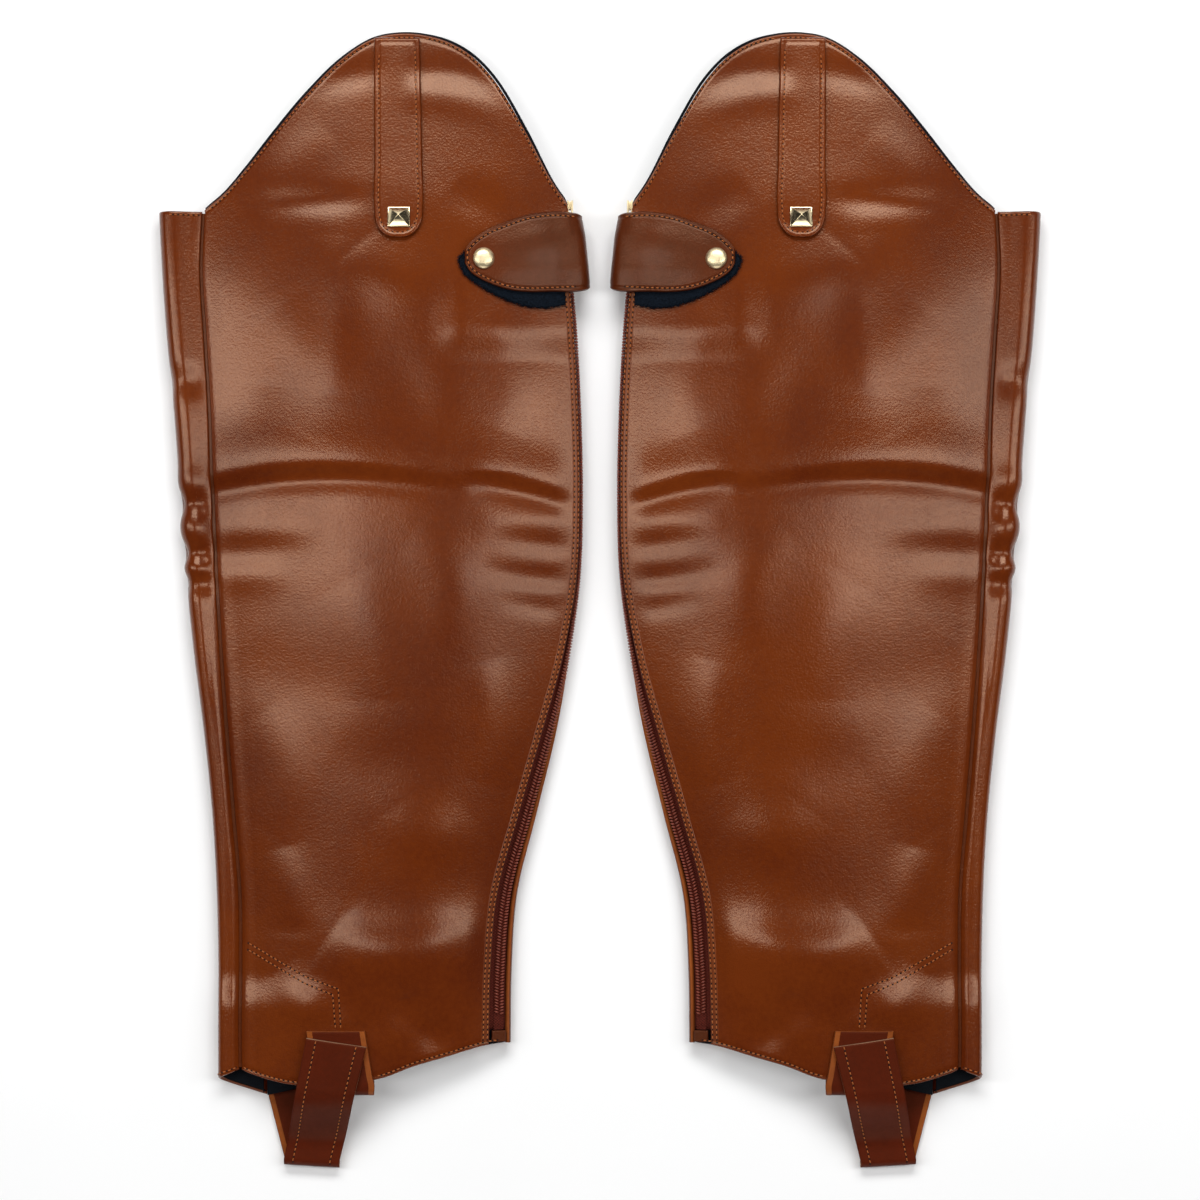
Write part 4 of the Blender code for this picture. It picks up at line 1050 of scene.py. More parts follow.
PANEL_EDGES = (0, 0.25, 0.6, 1.1, 1.8, 2.8, 4.2, 6.0)
PANEL_CELLS = 92
PANEL_SHARE = clustered(100.0, PANEL_EDGES, PANEL_CELLS) / 100.0
PANEL_RIM = np.array([0, 0.25, 0.6, 1.1, 1.8, 2.8])
HEM_ROWS = 56
LEVEL_ROWS = 176
TOP_ROWS = 110
LEVEL_LOW = -120.0
LEVEL_HIGH = 100.0


def panel_u(y):
    """Where the outer panel's columns stand at these heights, from the zip's edge to the front seam."""
    low = zip_turn(y) + ZIP_HALF
    return low + (panel.seam_u(y) - SEAM_GAP - low) * PANEL_SHARE


def seam_puff(y, u):
    """The soft ridge of the outer panel beside its front seam, most of it down the lower leg."""
    from_seam = panel.seam_u(y) - SEAM_GAP - u
    return 0.8 * lower_leg(y, 60) * bell(from_seam - 3.4, 2.2)


def panel_grid():
    """The heights and stations of the outer panel's points, bending towards its shaped hem and top."""
    hem_level, top_level = (np.full(PANEL_SHARE.shape, level) for level in (HEM_LEVEL, TOP_LEVEL))
    hem = outer_hem(panel.place(hem_level, panel_u(hem_level))[:, 0])
    top = spanish_top(panel.place(top_level, panel_u(top_level))[:, 0])
    rim = PANEL_RIM[-1]
    level_part = np.linspace(LEVEL_LOW, LEVEL_HIGH, LEVEL_ROWS)[1:-1]
    columns = []
    for hem_y, top_y in zip(hem, top):
        low_part = np.concatenate([hem_y + PANEL_RIM, np.linspace(hem_y + rim, LEVEL_LOW, HEM_ROWS)[1:]])
        high_part = np.linspace(LEVEL_HIGH, top_y - rim, TOP_ROWS)[:-1]
        columns.append(np.concatenate([low_part, level_part, high_part, (top_y - PANEL_RIM)[::-1]]))
    y = np.stack(columns, axis=1)
    return y, panel_u(y)


class GAITERS_OT_outer_panels(bpy.types.Operator):
    """Make the outer panels with their creases, turned edges and the lining's dark edge"""

    bl_idname = "gaiters.outer_panels"
    bl_label = "Outer panels"

    def execute(self, context):
        y, u = panel_grid()
        points = rolled_edges(panel.point(y, u, seam_puff(y, u)), PANEL_RADII)
        edge = np.minimum(np.abs(y - y[0]), np.abs(y - y[-1]))
        points -= grid_normals(points) * groove(edge - HEM_ROW_IN, HEM_GROOVE)[..., None]
        pieces = add_piece("outer_leather", grid_mesh(points), "outer_leather", wall=LEATHER,
                           replaces=("outer_panel",), inside="lining_cloth", rim="edge_leather")
        declare_sheets(pieces, area=0.0655, rests_on=("SIDE_inner_leather",))
        x = np.linspace(14.2, 177.6, 260)
        line = inset_line(np.stack((x, spanish_top(x)), -1), 0.1)
        points, normals = row_on_panel(line, -1.3)
        add_piece("top_lining_edge", grid_mesh(ribbon(points, normals, 1.3, 0.5)), "lining_cloth")
        return {"FINISHED"}


class GAITERS_OT_front_bands(bpy.types.Operator):
    """Make the gathered front bands"""

    bl_idname = "gaiters.front_bands"
    bl_label = "Front bands"

    def execute(self, context):
        share = clustered(100.0, (0, 1.0, 2.5, 4.5), 26) / 100.0
        seam_hem = BAND_HEM_SEAM_Y + (BAND_HEM_UNDER_Y - BAND_HEM_SEAM_Y) * share
        rise = clustered(1.0, EDGE_RISE, 300)
        y = seam_hem[None, :] + (BAND_TOP_Y - seam_hem)[None, :] * rise[:, None]
        points = band.point(y, share[None, :] * band.seam_u(y))
        points = rolled_edges(points, BAND_RADII)
        pieces = add_piece("front_band_leather", grid_mesh(points), "outer_leather",
                           wall=LEATHER, replaces=("front_band",), inside="lining_cloth", rim="edge_leather")
        declare_sheets(pieces, area=0.0151,
                       rests_on=("SIDE_foot_strap_leather",))
        # The seam allowance between panel and band uses the darker strap leather: painted shade that darkens
        # the seam's groove
        y = np.linspace(-209.5, 174.6, 240)
        share = np.linspace(0, 1, 7)[None, :, None]
        near = panel.point(y, panel.seam_u(y) - ALLOWANCE_DEPTH, -ALLOWANCE_DEPTH)[:, None]
        far = band.point(y, 1.3, -ALLOWANCE_DEPTH)[:, None]
        add_piece("front_seam_allowance", grid_mesh(near + (far - near) * share), "snap_leather")
        return {"FINISHED"}


class GAITERS_OT_inner_panels(bpy.types.Operator):
    """Make the inner panels that lie on the floor, and the lining at their hems"""

    bl_idname = "gaiters.inner_panels"
    bl_label = "Inner panels"

    def stations(self, y, share):
        low = panel.under_u(y)
        high = zip_turn(y) - ZIP_HALF
        return low + (high - low) * share

    def points(self, share, rise, out=0.0):
        at = np.full(share.shape, HEM_LEVEL)
        hem = inner_hem(panel.place(at, self.stations(at, share))[:, 0])
        y = hem[None, :] + (INNER_TOP_Y - hem)[None, :] * rise[:, None]
        return panel.point(y, self.stations(y, share[None, :]), out)

    def execute(self, context):
        share = np.concatenate([np.linspace(0, INNER_SPLIT, 34), np.linspace(INNER_SPLIT, 1, 22)[1:]])
        rise = clustered(1.0, EDGE_RISE, 150)
        points = self.points(share, rise)
        pieces = add_piece("inner_leather", grid_mesh(points), "inner_leather", wall=LEATHER,
                           replaces=("inner_panel",), inside="lining_cloth", rim="turned_edge")
        declare_sheets(pieces, area=0.0540)
        share, rise = np.linspace(0, LINING_ACROSS, 30), np.linspace(0, LINING_RISE, 12)
        points = self.points(share, rise, -LEATHER - SEAM_GAP)
        pieces = add_piece("hem_lining_cloth", grid_mesh(points), "lining_cloth", wall=LINING,
                           replaces=("hem_lining",))
        declare_sheets(pieces, rests_on=("SIDE_inner_leather",))
        return {"FINISHED"}


class GAITERS_OT_zips(bpy.types.Operator):
    """Make the zips: woven tapes, coil, stitched edge, end tab, slider and pull tab"""

    bl_idname = "gaiters.zips"
    bl_label = "Zips"

    def strip(self, u_low, u_high, y_low, y_high, depth, columns, rows):
        y = np.linspace(y_low, y_high, rows + 1)[:, None]
        u = zip_turn(y) + np.linspace(u_low, u_high, columns + 1)[None, :]
        return panel.point(y, u, -depth)

    def teeth(self, pitch):
        """Two rows of slanting turns that mesh in the middle."""
        mesh = bmesh.new()
        count = round((TAPE_TOP_Y - COIL_BOTTOM_Y) / pitch)
        for half, shift in ((-1, 0.0), (1, 0.5)):
            y = COIL_BOTTOM_Y + (np.arange(count) + 0.25 + shift) * pitch
            u = zip_turn(y) + half * 1.3
            middle = panel.point(y, u, -COIL_DEPTH)
            along = panel.point(y + 0.5, u, -COIL_DEPTH) - middle
            up = middle - panel.point(y, u, -COIL_DEPTH - 1)
            add_pips(mesh, frames_at(middle, along, up), (pitch * 0.6, 2.2, 1.8), half * math.radians(20))
        return mesh

    def edge_band(self):
        y = np.linspace(-197.6, 176.4, ZIP_EDGE_ROWS)[:, None]
        across = np.array([0, 0.08, 0.2, 0.45, 0.8, 1.2, 1.6, 1.95, 2.3, 2.7, 3.1, 3.4, 3.6, 3.72, 3.8])
        middle = ZIP_EDGE_WIDE / 2
        crown = 1 - np.abs((across - middle) / middle) ** 6
        out = -0.25 + 0.75 * crown - sum(groove(across - row, ZIP_GROOVE) for row in ZIP_ROWS)
        return panel.point(y, zip_turn(y) + ZIP_HALF + 0.02 + across, out)

    def slider(self):
        z = panel_level(TAPE_TOP_Y)
        low, high = z - SLIDER_HALF_Z, z + SLIDER_HALF_Z
        near_x, far_x = SLIDER_OUT_X, SLIDER_OUT_X + SLIDER_DEEP
        mesh = box_mesh((near_x, SLIDER_BOTTOM_Y, low), (near_x + SLIDER_PLATE, SLIDER_TOP_Y, high), 0.25)
        join(mesh, box_mesh((far_x - SLIDER_PLATE, SLIDER_BOTTOM_Y, low), (far_x, SLIDER_TOP_Y, high), 0.25))
        join(mesh, box_mesh((near_x + 0.4, SLIDER_POST_Y, low + 1),
                            (far_x - 0.4, SLIDER_TOP_Y - 0.5, high - 1), 0.15))
        join(mesh, box_mesh((LUG_X, LUG_Y - LUG_HALF, z - LUG_HALF),
                            (near_x + 0.4, LUG_Y + LUG_HALF, z + LUG_HALF), 0.2))
        return mesh

    def pull_tab(self):
        """A flat tab with a square eye."""
        z = panel_level(TAPE_TOP_Y)
        half = PULL_THICK / 2
        mesh = box_mesh((PULL_X - half, LUG_Y - PULL_LENGTH, z - PULL_HALF_Z),
                        (PULL_X + half, LUG_Y + PULL_TOP, z + PULL_HALF_Z))
        for place, way in ((LUG_Y - PULL_EYE_HALF, (0, 1, 0)), (LUG_Y + PULL_EYE_HALF, (0, 1, 0)),
                           (z - PULL_EYE_HALF, (0, 0, 1)), (z + PULL_EYE_HALF, (0, 0, 1))):
            parts = [*mesh.verts, *mesh.edges, *mesh.faces]
            bmesh.ops.bisect_plane(mesh, geom=parts, plane_co=Vector(way) * place * MM, plane_no=way)
        eye = []
        for face in mesh.faces:
            middle = face.calc_center_median() / MM
            inside = abs(middle.y - LUG_Y) < PULL_EYE_HALF and abs(middle.z - z) < PULL_EYE_HALF
            if inside and abs(face.normal.x) > 0.9:
                eye.append(face)
        bmesh.ops.delete(mesh, geom=eye, context="FACES_ONLY")
        bmesh.ops.bridge_loops(mesh, edges=[edge for edge in mesh.edges if edge.is_boundary])
        bmesh.ops.recalc_face_normals(mesh, faces=mesh.faces[:])
        sharp = [edge for edge in mesh.edges if edge.calc_face_angle(0) > 1.0]
        bmesh.ops.bevel(mesh, geom=sharp, offset=0.2 * MM, segments=2, profile=0.5, affect="EDGES",
                        material=-1)
        return mesh

    def execute(self, context):
        sizes = context.scene.gaiter_sizes
        tapes = (("outer", TAPE_GAP_HALF, ZIP_HALF + TAPE_TAIL, 0.0022),
                 ("inner", -ZIP_HALF - TAPE_TAIL, -TAPE_GAP_HALF, 0.0017))
        for name, low, high, area in tapes:
            points = self.strip(low, high, TAPE_BOTTOM_Y, TAPE_TOP_Y, TAPE_DEPTH, 8, 180)
            pieces = add_piece(f"zip_{name}_tape", grid_mesh(points), "tape_cloth", wall=TAPE,
                               replaces=(f"zip_tape_{name}",))
            declare_sheets(pieces, area=area,
                           rests_on=(f"SIDE_{name}_leather",))
        core = self.strip(-2.3, 2.3, TAPE_BOTTOM_Y, TAPE_TOP_Y, COIL_DEPTH + 0.7, 6, 180)
        add_piece("zip_coil_core", grid_mesh(core), "tape_cloth")
        add_piece("zip_coil_turns", self.teeth(sizes.tooth_pitch / MM), "coil_nylon",
                  replaces=("zip_coil",), smooth_angle=180)
        add_piece("zip_stitched_edge", grid_mesh(self.edge_band()), "edge_leather")
        tab = self.strip(-END_TAB_HALF, END_TAB_HALF, END_TAB_BOTTOM_Y, END_TAB_TOP_Y, END_TAB_DEPTH, 16, 12)
        add_piece("zip_end_tab_leather", grid_mesh(tab), "snap_leather",
                  wall=STRAP_LEATHER, replaces=("zip_end_tab",))
        add_piece("zip_slider_body", self.slider(), "gold", replaces=("zip_slider",),
                  smooth_angle=40)
        add_piece("zip_pull", self.pull_tab(), "gold", body="SIDE_pull", replaces=("zip_pull_tab",),
                  smooth_angle=40)
        return {"FINISHED"}


def panel_level(y):
    """The height of the zip fold's middle."""
    return float(section_curves["back_r"](y) + lift(SLIDER_OUT_X, y))


def loop_points(rows, columns):
    """The loop strap's outline filled with points, as x and y."""
    coarse = np.array([[(r.x_low, r.y, 0.0), (r.x_high, r.y, 0.0)] for r in LOOP_STRAP])
    fine = refined(coarse, rows, columns)
    x = fine[..., 0]
    return x, np.minimum(fine[..., 1], spanish_top(x) - 0.6)


def tongue_points(rows, along, across):
    coarse = np.array([[(r.x, r.upper_y, 0.0), (r.x, r.lower_y, 0.0)] for r in rows])
    fine = refined(coarse, along, across)
    return fine[..., 0], fine[..., 1]


def snap_grid(along, across):
    """The snap strap: the tail on the floor, the turn round the zip and the tongue on the outer panel."""
    share = np.linspace(0, 1, SNAP_ACROSS)
    tail_y = SNAP_TAIL_UPPER_Y + (SNAP_TAIL_LOWER_Y - SNAP_TAIL_UPPER_Y) * share
    rows = [np.stack((np.full(SNAP_ACROSS, x), tail_y, np.zeros(SNAP_ACROSS)), -1)
            for x in (SNAP_TAIL_X, 36.0, FOLD_JOIN_X + 10)]
    first = SNAP_STRAP[0]
    for angle in SNAP_TURN:
        turn = math.radians(angle)
        rise = (math.sin(turn) + 1) / 2
        upper = SNAP_TAIL_UPPER_Y + (first.upper_y - SNAP_TAIL_UPPER_Y) * rise
        lower = SNAP_TAIL_LOWER_Y + (first.lower_y - SNAP_TAIL_LOWER_Y) * rise
        y = upper + (lower - upper) * share
        top_z = panel.on_top(FOLD_JOIN_X, y, SNAP_OUT)[:, 2]
        x = FOLD_JOIN_X - (FOLD_JOIN_X - snap_fold_x(y)) * math.cos(turn) ** FOLD_FULLNESS
        rows.append(np.stack((x, y, top_z * rise), -1))
    x, y = tongue_points(SNAP_STRAP, 16, SNAP_ACROSS - 1)
    rows += list(panel.on_top(x, y, SNAP_OUT))
    return refined(np.array(rows), along, across)


def inset_line(outline, distance):
    """A flat outline, as x and y, moved to its left by a distance."""
    step = np.gradient(outline, axis=0)
    step /= np.linalg.norm(step, axis=-1, keepdims=True)
    return outline + np.stack((-step[:, 1], step[:, 0]), -1) * distance


def even_line(corners, step=0.8):
    """Points evenly along a line through corners, as x and y."""
    corners = np.array(corners, float)
    at = distances(corners)
    where = np.linspace(0, at[-1], max(3, round(at[-1] / step)))
    return np.stack([np.interp(where, at, corners[:, i]) for i in range(2)], -1)


def tongue_outline(rows):
    """Round the strap's free edge, from its upper side by the zip to its lower side."""
    upper = [(r.x, r.upper_y) for r in rows]
    lower = [(r.x, r.lower_y) for r in reversed(rows)]
    x, y = np.array(upper + lower).T
    at = np.concatenate([[0], np.cumsum(np.hypot(np.diff(x), np.diff(y)))])
    curve = smooth_curve(at, np.stack((x, y), -1))
    return curve(np.linspace(0, at[-1], 160))


class GAITERS_OT_top_straps(bpy.types.Operator):
    """Make the loop straps with their studs, and the snap straps with their caps and felt"""

    bl_idname = "gaiters.top_straps"
    bl_label = "Loop straps and snap straps"

    def stud(self):
        mesh = bmesh.new()
        half_diagonal = STUD_WIDE * MM / math.sqrt(2)
        bmesh.ops.create_cone(mesh, cap_ends=True, segments=4, radius1=half_diagonal * 0.93,
                              radius2=STUD_TIP * MM, depth=STUD_HIGH * MM)
        bmesh.ops.rotate(mesh, matrix=Matrix.Rotation(math.radians(45), 3, "Z"), verts=mesh.verts)
        bmesh.ops.bevel(mesh, geom=mesh.edges[:], offset=0.18 * MM, segments=2, profile=0.5, affect="EDGES",
                        material=-1)
        bmesh.ops.translate(mesh, vec=(0, 0, (STUD_HIGH / 2 + STUD_BASE) * MM), verts=mesh.verts)
        half = STUD_WIDE / 2
        join(mesh, box_mesh((-half, -half, 0), (half, half, STUD_BASE + 0.1), 0.3))
        bmesh.ops.scale(mesh, vec=(1, STUD_LONG / STUD_WIDE, 1), verts=mesh.verts)
        place = seat(STUD_X, STUD_Y, LAID_GAP + LOOP_LEATHER + 0.02)
        bmesh.ops.transform(mesh, matrix=place, verts=mesh.verts)
        return mesh

    def cap(self):
        mesh = bmesh.new()
        profile = ((0, 1.0), (0.3, 0.985), (0.55, 0.9), (0.75, 0.74), (0.88, 0.54), (0.96, 0.3), (1.0, 0.12),
                   (0.97, 0.02), (0.9, 0.0), (0.0, 0.0))
        points = [mesh.verts.new((r * 1.04 * CAP_RADIUS * MM, 0, h * CAP_HIGH * MM)) for r, h in profile]
        edges = [mesh.edges.new(pair) for pair in zip(points, points[1:])]
        bmesh.ops.spin(mesh, geom=points + edges, cent=(0, 0, 0), axis=(0, 0, 1), angle=math.tau, steps=40,
                       use_merge=True)
        bmesh.ops.remove_doubles(mesh, verts=mesh.verts, dist=1e-6)
        bmesh.ops.recalc_face_normals(mesh, faces=mesh.faces[:])
        bmesh.ops.transform(mesh, matrix=seat(CAP_X, CAP_Y, SNAP_OUT + 0.05), verts=mesh.verts)
        return mesh

    def fuzz(self):
        """Loose fibres round the felt's edge."""
        mesh = bmesh.new()
        chance = random.Random(7)
        outline = tongue_outline(FELT_PATCH)
        step = np.gradient(outline, axis=0)
        matrices = []
        for _ in range(FELT_FIBRES):
            i = chance.randrange(len(outline))
            x, y = outline[i] + np.array((chance.uniform(-0.5, 0.5), chance.uniform(-0.5, 0.5)))
            away = math.atan2(step[i][0], -step[i][1]) + math.pi + chance.uniform(-1.1, 1.1)
            place = Vector(panel.on_top(float(x), float(y), LAID_GAP + chance.uniform(0.3, 1.2)))
            length = chance.uniform(0.9, 2.3)
            turn = Matrix.Rotation(away, 4, "Z") @ Matrix.Rotation(chance.uniform(-0.35, 0.25), 4, "Y")
            matrices.append(Matrix.Translation(place * MM) @ turn @ Matrix.Diagonal((length, 1, 1, 1)))
        add_pips(mesh, matrices, (1.0, 0.24, 0.2))
        return mesh

    def execute(self, context):
        x, y = loop_points(*LOOP_CELLS)
        flat = np.stack((x, y, 0 * x), -1)
        rim = edge_distance(flat)
        out = LAID_GAP + LOOP_LEATHER + 0.12 * ease(rim / 3) - groove(rim - LOOP_ROW_IN, LOOP_GROOVE)
        points = rolled_edges(panel.on_top(x, y, out), LOOP_RADII)
        pieces = add_piece("loop_strap_leather", grid_mesh(points), "outer_leather", wall=1.7,
                           replaces=("loop_strap",), rim="edge_leather")
        declare_sheets(pieces, area=0.00195, rests_on=("SIDE_outer_leather",))
        add_piece("pyramid_stud_gold", self.stud(), "polished_gold", replaces=("pyramid_stud",),
                  smooth_angle=35)
        x, y = tongue_points(FELT_PATCH, *FELT_CELLS)
        points = panel.on_top(x, y, LAID_GAP + FELT)
        points[..., 2] += 0.2 * np.sin(x * 5.1 + np.sin(y * 3.7)) * np.sin(y * 4.3 + np.sin(x * 2.9))
        pieces = add_piece("felt_patch_cloth", grid_mesh(points), "wool_felt", wall=0.8,
                           replaces=("felt_patch",))
        declare_sheets(pieces, area=0.00150, rests_on=("SIDE_outer_leather",))
        add_piece("felt_fibres", self.fuzz(), "wool_felt", smooth_angle=180)
        points = snap_grid(*SNAP_CELLS)
        rim = edge_distance(points)
        puff = 0.7 * ease(rim / 11) - groove(rim - SNAP_ROW_IN, SNAP_GROOVE)
        x, y = points[..., 0], points[..., 1]
        puff += 0.9 * bell(x - 26, 11) * bell(y - 159, 8)
        dent = 0.7 * bell(np.hypot(x - CAP_X, y - CAP_Y), 6.5)
        upper = ease((points[..., 2] - 1) / 17)
        points = points + grid_normals(points) * ((puff - dent) * upper)[..., None]
        points = rolled_edges(points, SNAP_RADII)
        pieces = add_piece("snap_strap_leather", grid_mesh(points), "snap_leather", wall=1.4,
                           replaces=("snap_strap",), rim="turned_edge")
        declare_sheets(pieces, area=0.0031,
                       rests_on=("SIDE_outer_leather",))
        add_piece("snap_cap_gold", self.cap(), "gold", replaces=("snap_cap",), smooth_angle=60)
        return {"FINISHED"}


def between(edge, columns):
    (left_x, left_y), (right_x, right_y) = edge
    t = np.linspace(0, 1, columns + 1)
    return left_x + (right_x - left_x) * t, left_y + (right_y - left_y) * t


def mixed(edge_a, edge_b, t):
    return tuple((a[0] + (b[0] - a[0]) * t, a[1] + (b[1] - a[1]) * t) for a, b in zip(edge_a, edge_b))


def foot_strap_grid():
    """The middle of the foot strap: out along the floor, round its turn and back up over the tab."""
    rows = []
    for share in (0, 0.33, 0.67, 0.86, 0.94, 0.975, 0.99, 1.0):
        x, y = between(mixed(FOOT_END, FOOT_TURN, share), 4)
        rows.append(np.stack((x, y, np.full(5, FOOT_FLOOR_Z)), -1))
    x, y = between(FOOT_TURN, 4)
    for turn in np.linspace(0, math.pi, 9)[1:]:
        z = np.full(5, FOOT_FLOOR_Z + FOOT_TURN_RADIUS * (1 - math.cos(turn)))
        rows.append(np.stack((x, y - FOOT_TURN_RADIUS * math.sin(turn), z), -1))
    low = FOOT_FLOOR_Z + 2 * FOOT_TURN_RADIUS
    for share in (0.01, 0.025, 0.05, *(np.arange(1, FOOT_RISE_ROWS + 1) / FOOT_RISE_ROWS)):
        x, y = between(mixed(FOOT_TURN, FOOT_TOP, share), 4)
        high = panel.on_top(x, np.maximum(y, FOOT_HIGH_Y), FOOT_ON_TAB)[:, 2]
        z = low + (high - low) * ease((y - FOOT_LOW_Y) / (FOOT_HIGH_Y - FOOT_LOW_Y))
        rows.append(np.stack((x, y, z), -1))
    return np.array(rows)


def foot_tab_grid():
    """The middle of the tab: down over the outer panel, round the hem's edge and a little way inside."""
    rows = []
    for i in range(TAB_LEG_ROWS + 1):
        x, y = between(mixed(TAB_TOP, TAB_TURN, i / TAB_LEG_ROWS), 4)
        rows.append(panel.on_top(x, y, LAID_GAP + STRAP_LEATHER / 2))
    x, y = between(TAB_TURN, 4)
    for turn, inside in [(t, 0.0) for t in np.linspace(0, math.pi, 7)[1:]] + [(math.pi, 0.5), (math.pi, 1.0)]:
        at_y = y + (TAB_INSIDE_Y - y) * inside
        middle = panel.on_top(x, at_y, -LEATHER / 2)
        rows.append(middle + np.array((0, -math.sin(turn), math.cos(turn))) * TAB_TURN_RADIUS)
    return np.array(rows)


def side_bands(points, out):
    """Two narrow strips along a strap's long edges, moved out of its middle surface."""
    normal = grid_normals(points)
    bands = []
    for flip in (False, True):
        grid = points[:, ::-1] if flip else points
        up = normal[:, ::-1] if flip else normal
        at = mean_distances(grid, 1)
        where = np.linspace(0.0, TURNED_EDGE_WIDE, 7)
        strip = np.moveaxis(smooth_curve(at, np.moveaxis(grid, 1, 0))(where), 0, 1)
        rise = np.moveaxis(smooth_curve(at, np.moveaxis(up, 1, 0))(where), 0, 1)
        rounded = 1 - np.abs(2 * where / TURNED_EDGE_WIDE - 1) ** 4
        crown = out + TURNED_EDGE_CROWN * rounded - TURNED_EDGE_SUNK
        strip = strip + rise * crown[None, :, None]
        bands.append(strip[:, ::-1] if flip else strip)
    return bands


class GAITERS_OT_foot_straps(bpy.types.Operator):
    """Make the foot straps and the tabs that they lie on, with their turned edges"""

    bl_idname = "gaiters.foot_straps"
    bl_label = "Foot straps"

    def execute(self, context):
        strap = refined(foot_strap_grid(), *FOOT_CELLS)
        pieces = add_piece("foot_strap_leather", grid_mesh(strap), "foot_leather",
                           wall=FOOT_LEATHER, offset=0.0, replaces=("foot_strap",), rim="cut_edge")
        declare_sheets(pieces, rests_on=("studio_floor",))
        tab = refined(foot_tab_grid(), *TAB_CELLS)
        pieces = add_piece("foot_tab_leather", grid_mesh(tab), "foot_leather",
                           wall=STRAP_LEATHER, offset=0.0, replaces=("foot_tab",), rim="turned_edge")
        declare_sheets(pieces, rests_on=("SIDE_outer_leather",))
        bands = bmesh.new()
        for points, out in ((strap, FOOT_LEATHER / 2), (tab, STRAP_LEATHER / 2)):
            for strip in side_bands(points, out):
                join(bands, grid_mesh(strip))
        add_piece("foot_turned_edges", bands, "turned_edge")
        return {"FINISHED"}


def row_on_panel(outline, out=0.0):
    """A seam row on the outer panel: its points and normals."""
    x, y = outline.T
    u = panel.u_at(x, y)
    out = out + seam_puff(y, u)
    points = panel.point(y, u, out)
    return points, panel.point(y, u, out + 1) - points


def row_on_grid(points, flat):
    """A seam row on a strap: the nearest points of its fine grid to a line, given as x and y."""
    normal = grid_normals(points)
    high = points[..., 2] > 0.6 * points[..., 2].max()
    spots = points[high]
    ups = normal[high]
    nearest = [np.argmin(np.hypot(spots[:, 0] - x, spots[:, 1] - y)) for x, y in flat]
    line = np.column_stack((flat, spots[nearest][:, 2]))
    return line, ups[nearest]


class GAITERS_OT_stitching(bpy.types.Operator):
    """Sew every seam row: threads, and dark discs between them that paint the shade inside the needle holes
    """

    bl_idname = "gaiters.stitching"
    bl_label = "Stitching"

    def rows(self):
        x = np.linspace(14.5, 177, 260)
        top = inset_line(np.stack((x, spanish_top(x)), -1), -TOP_ROW_IN)
        yield row_on_panel(top[top[:, 0] < LOOP_COVERS[0]])
        yield row_on_panel(top[top[:, 0] > LOOP_COVERS[1]])
        x = np.linspace(46.0, 160.8, 200)
        hem = inset_line(np.stack((x, outer_hem(x)), -1), HEM_ROW_IN)
        yield row_on_panel(hem[hem[:, 0] < TAB_COVERS[0]])
        yield row_on_panel(hem[hem[:, 0] > TAB_COVERS[1]])
        y = np.linspace(-196.8, 175.6, 700)
        for into in ZIP_ROWS:
            u = zip_turn(y) + ZIP_HALF + into
            points = panel.point(y, u, ZIP_ROW_OUT)
            yield points, panel.point(y, u, ZIP_ROW_OUT + 1) - points
        for corners in INSTEP_ROWS:
            yield row_on_panel(even_line(corners))
        x, y = loop_points(*LOOP_CELLS)
        left = np.stack((x[:, 0], y[:, 0]), -1)
        right = np.stack((x[:, -1], y[:, -1]), -1)
        outline = np.concatenate([left[::-1], right])
        at = distances(outline)
        outline = smooth_curve(at[::3], outline[::3])(np.linspace(0, at[-3], 260))
        yield row_on_panel(inset_line(outline, LOOP_ROW_IN)[8:-8], LAID_GAP + LOOP_LEATHER - LOOP_ROW_SUNK)
        across = np.stack((np.linspace(83.4, 99.0, 24), np.full(24, 0.0)), -1)
        across[:, 1] = spanish_top(across[:, 0]) - 0.6 - LOOP_ROW_IN
        yield row_on_panel(across, LAID_GAP + LOOP_LEATHER - LOOP_ROW_SUNK)

    def snap_row(self, points):
        outline = inset_line(tongue_outline((SNAP_SEAM_START, *SNAP_STRAP))[::-1], SNAP_ROW_IN)
        return row_on_grid(points, outline)

    def foot_rows(self):
        strap = refined(foot_strap_grid(), *FOOT_CELLS)
        normal = grid_normals(strap)
        first = int(len(strap) * 0.5)
        for column in (5, 25):
            up = -normal[first:, column]
            yield strap[first:, column] + up * (FOOT_LEATHER / 2 + 0.02), up

    def band_rows(self):
        u = np.linspace(1.5, 15.5, 60)
        seam_hem = BAND_HEM_SEAM_Y + (BAND_HEM_UNDER_Y - BAND_HEM_SEAM_Y) * u / band.seam_u(-215.0)
        for y in (seam_hem + HEM_ROW_IN, BAND_TOP_Y - TOP_ROW_IN):
            points = band.point(y, u)
            yield points, band.point(y, u, 1.0) - points

    def execute(self, context):
        sizes = context.scene.gaiter_sizes
        pitch, length = sizes.stitch_pitch / MM, sizes.stitch_length / MM
        wide = sizes.thread_width / MM
        snap = snap_grid(*SNAP_CELLS)
        rim = edge_distance(snap)
        snap = snap + grid_normals(snap) * (0.7 * ease(rim / 11))[..., None]
        rows = [*self.rows(), self.snap_row(snap), *self.foot_rows(), *self.band_rows()]
        threads, hole_shades = bmesh.new(), bmesh.new()
        for points, normals in rows:
            normals = normals / np.linalg.norm(normals, axis=-1, keepdims=True)
            middle, along, up = along_path(points, normals, pitch)
            middle = middle + up * THREAD_LIFT
            add_pips(threads, frames_at(middle, along, up), (length, wide, wide * 0.9), THREAD_SLANT)
            # Dark discs at the gaps between threads: painted shade of the needle holes
            gap, along, up = along_path(points, normals, pitch, start=0.0)
            add_pips(hole_shades, frames_at(gap, along, up), (wide * 1.7, wide * 1.6, HOLE_DEEP))
        add_piece("seam_threads", threads, "thread", smooth_angle=180)
        add_piece("needle_holes", hole_shades, "needle_hole", smooth_angle=180)
        return {"FINISHED"}


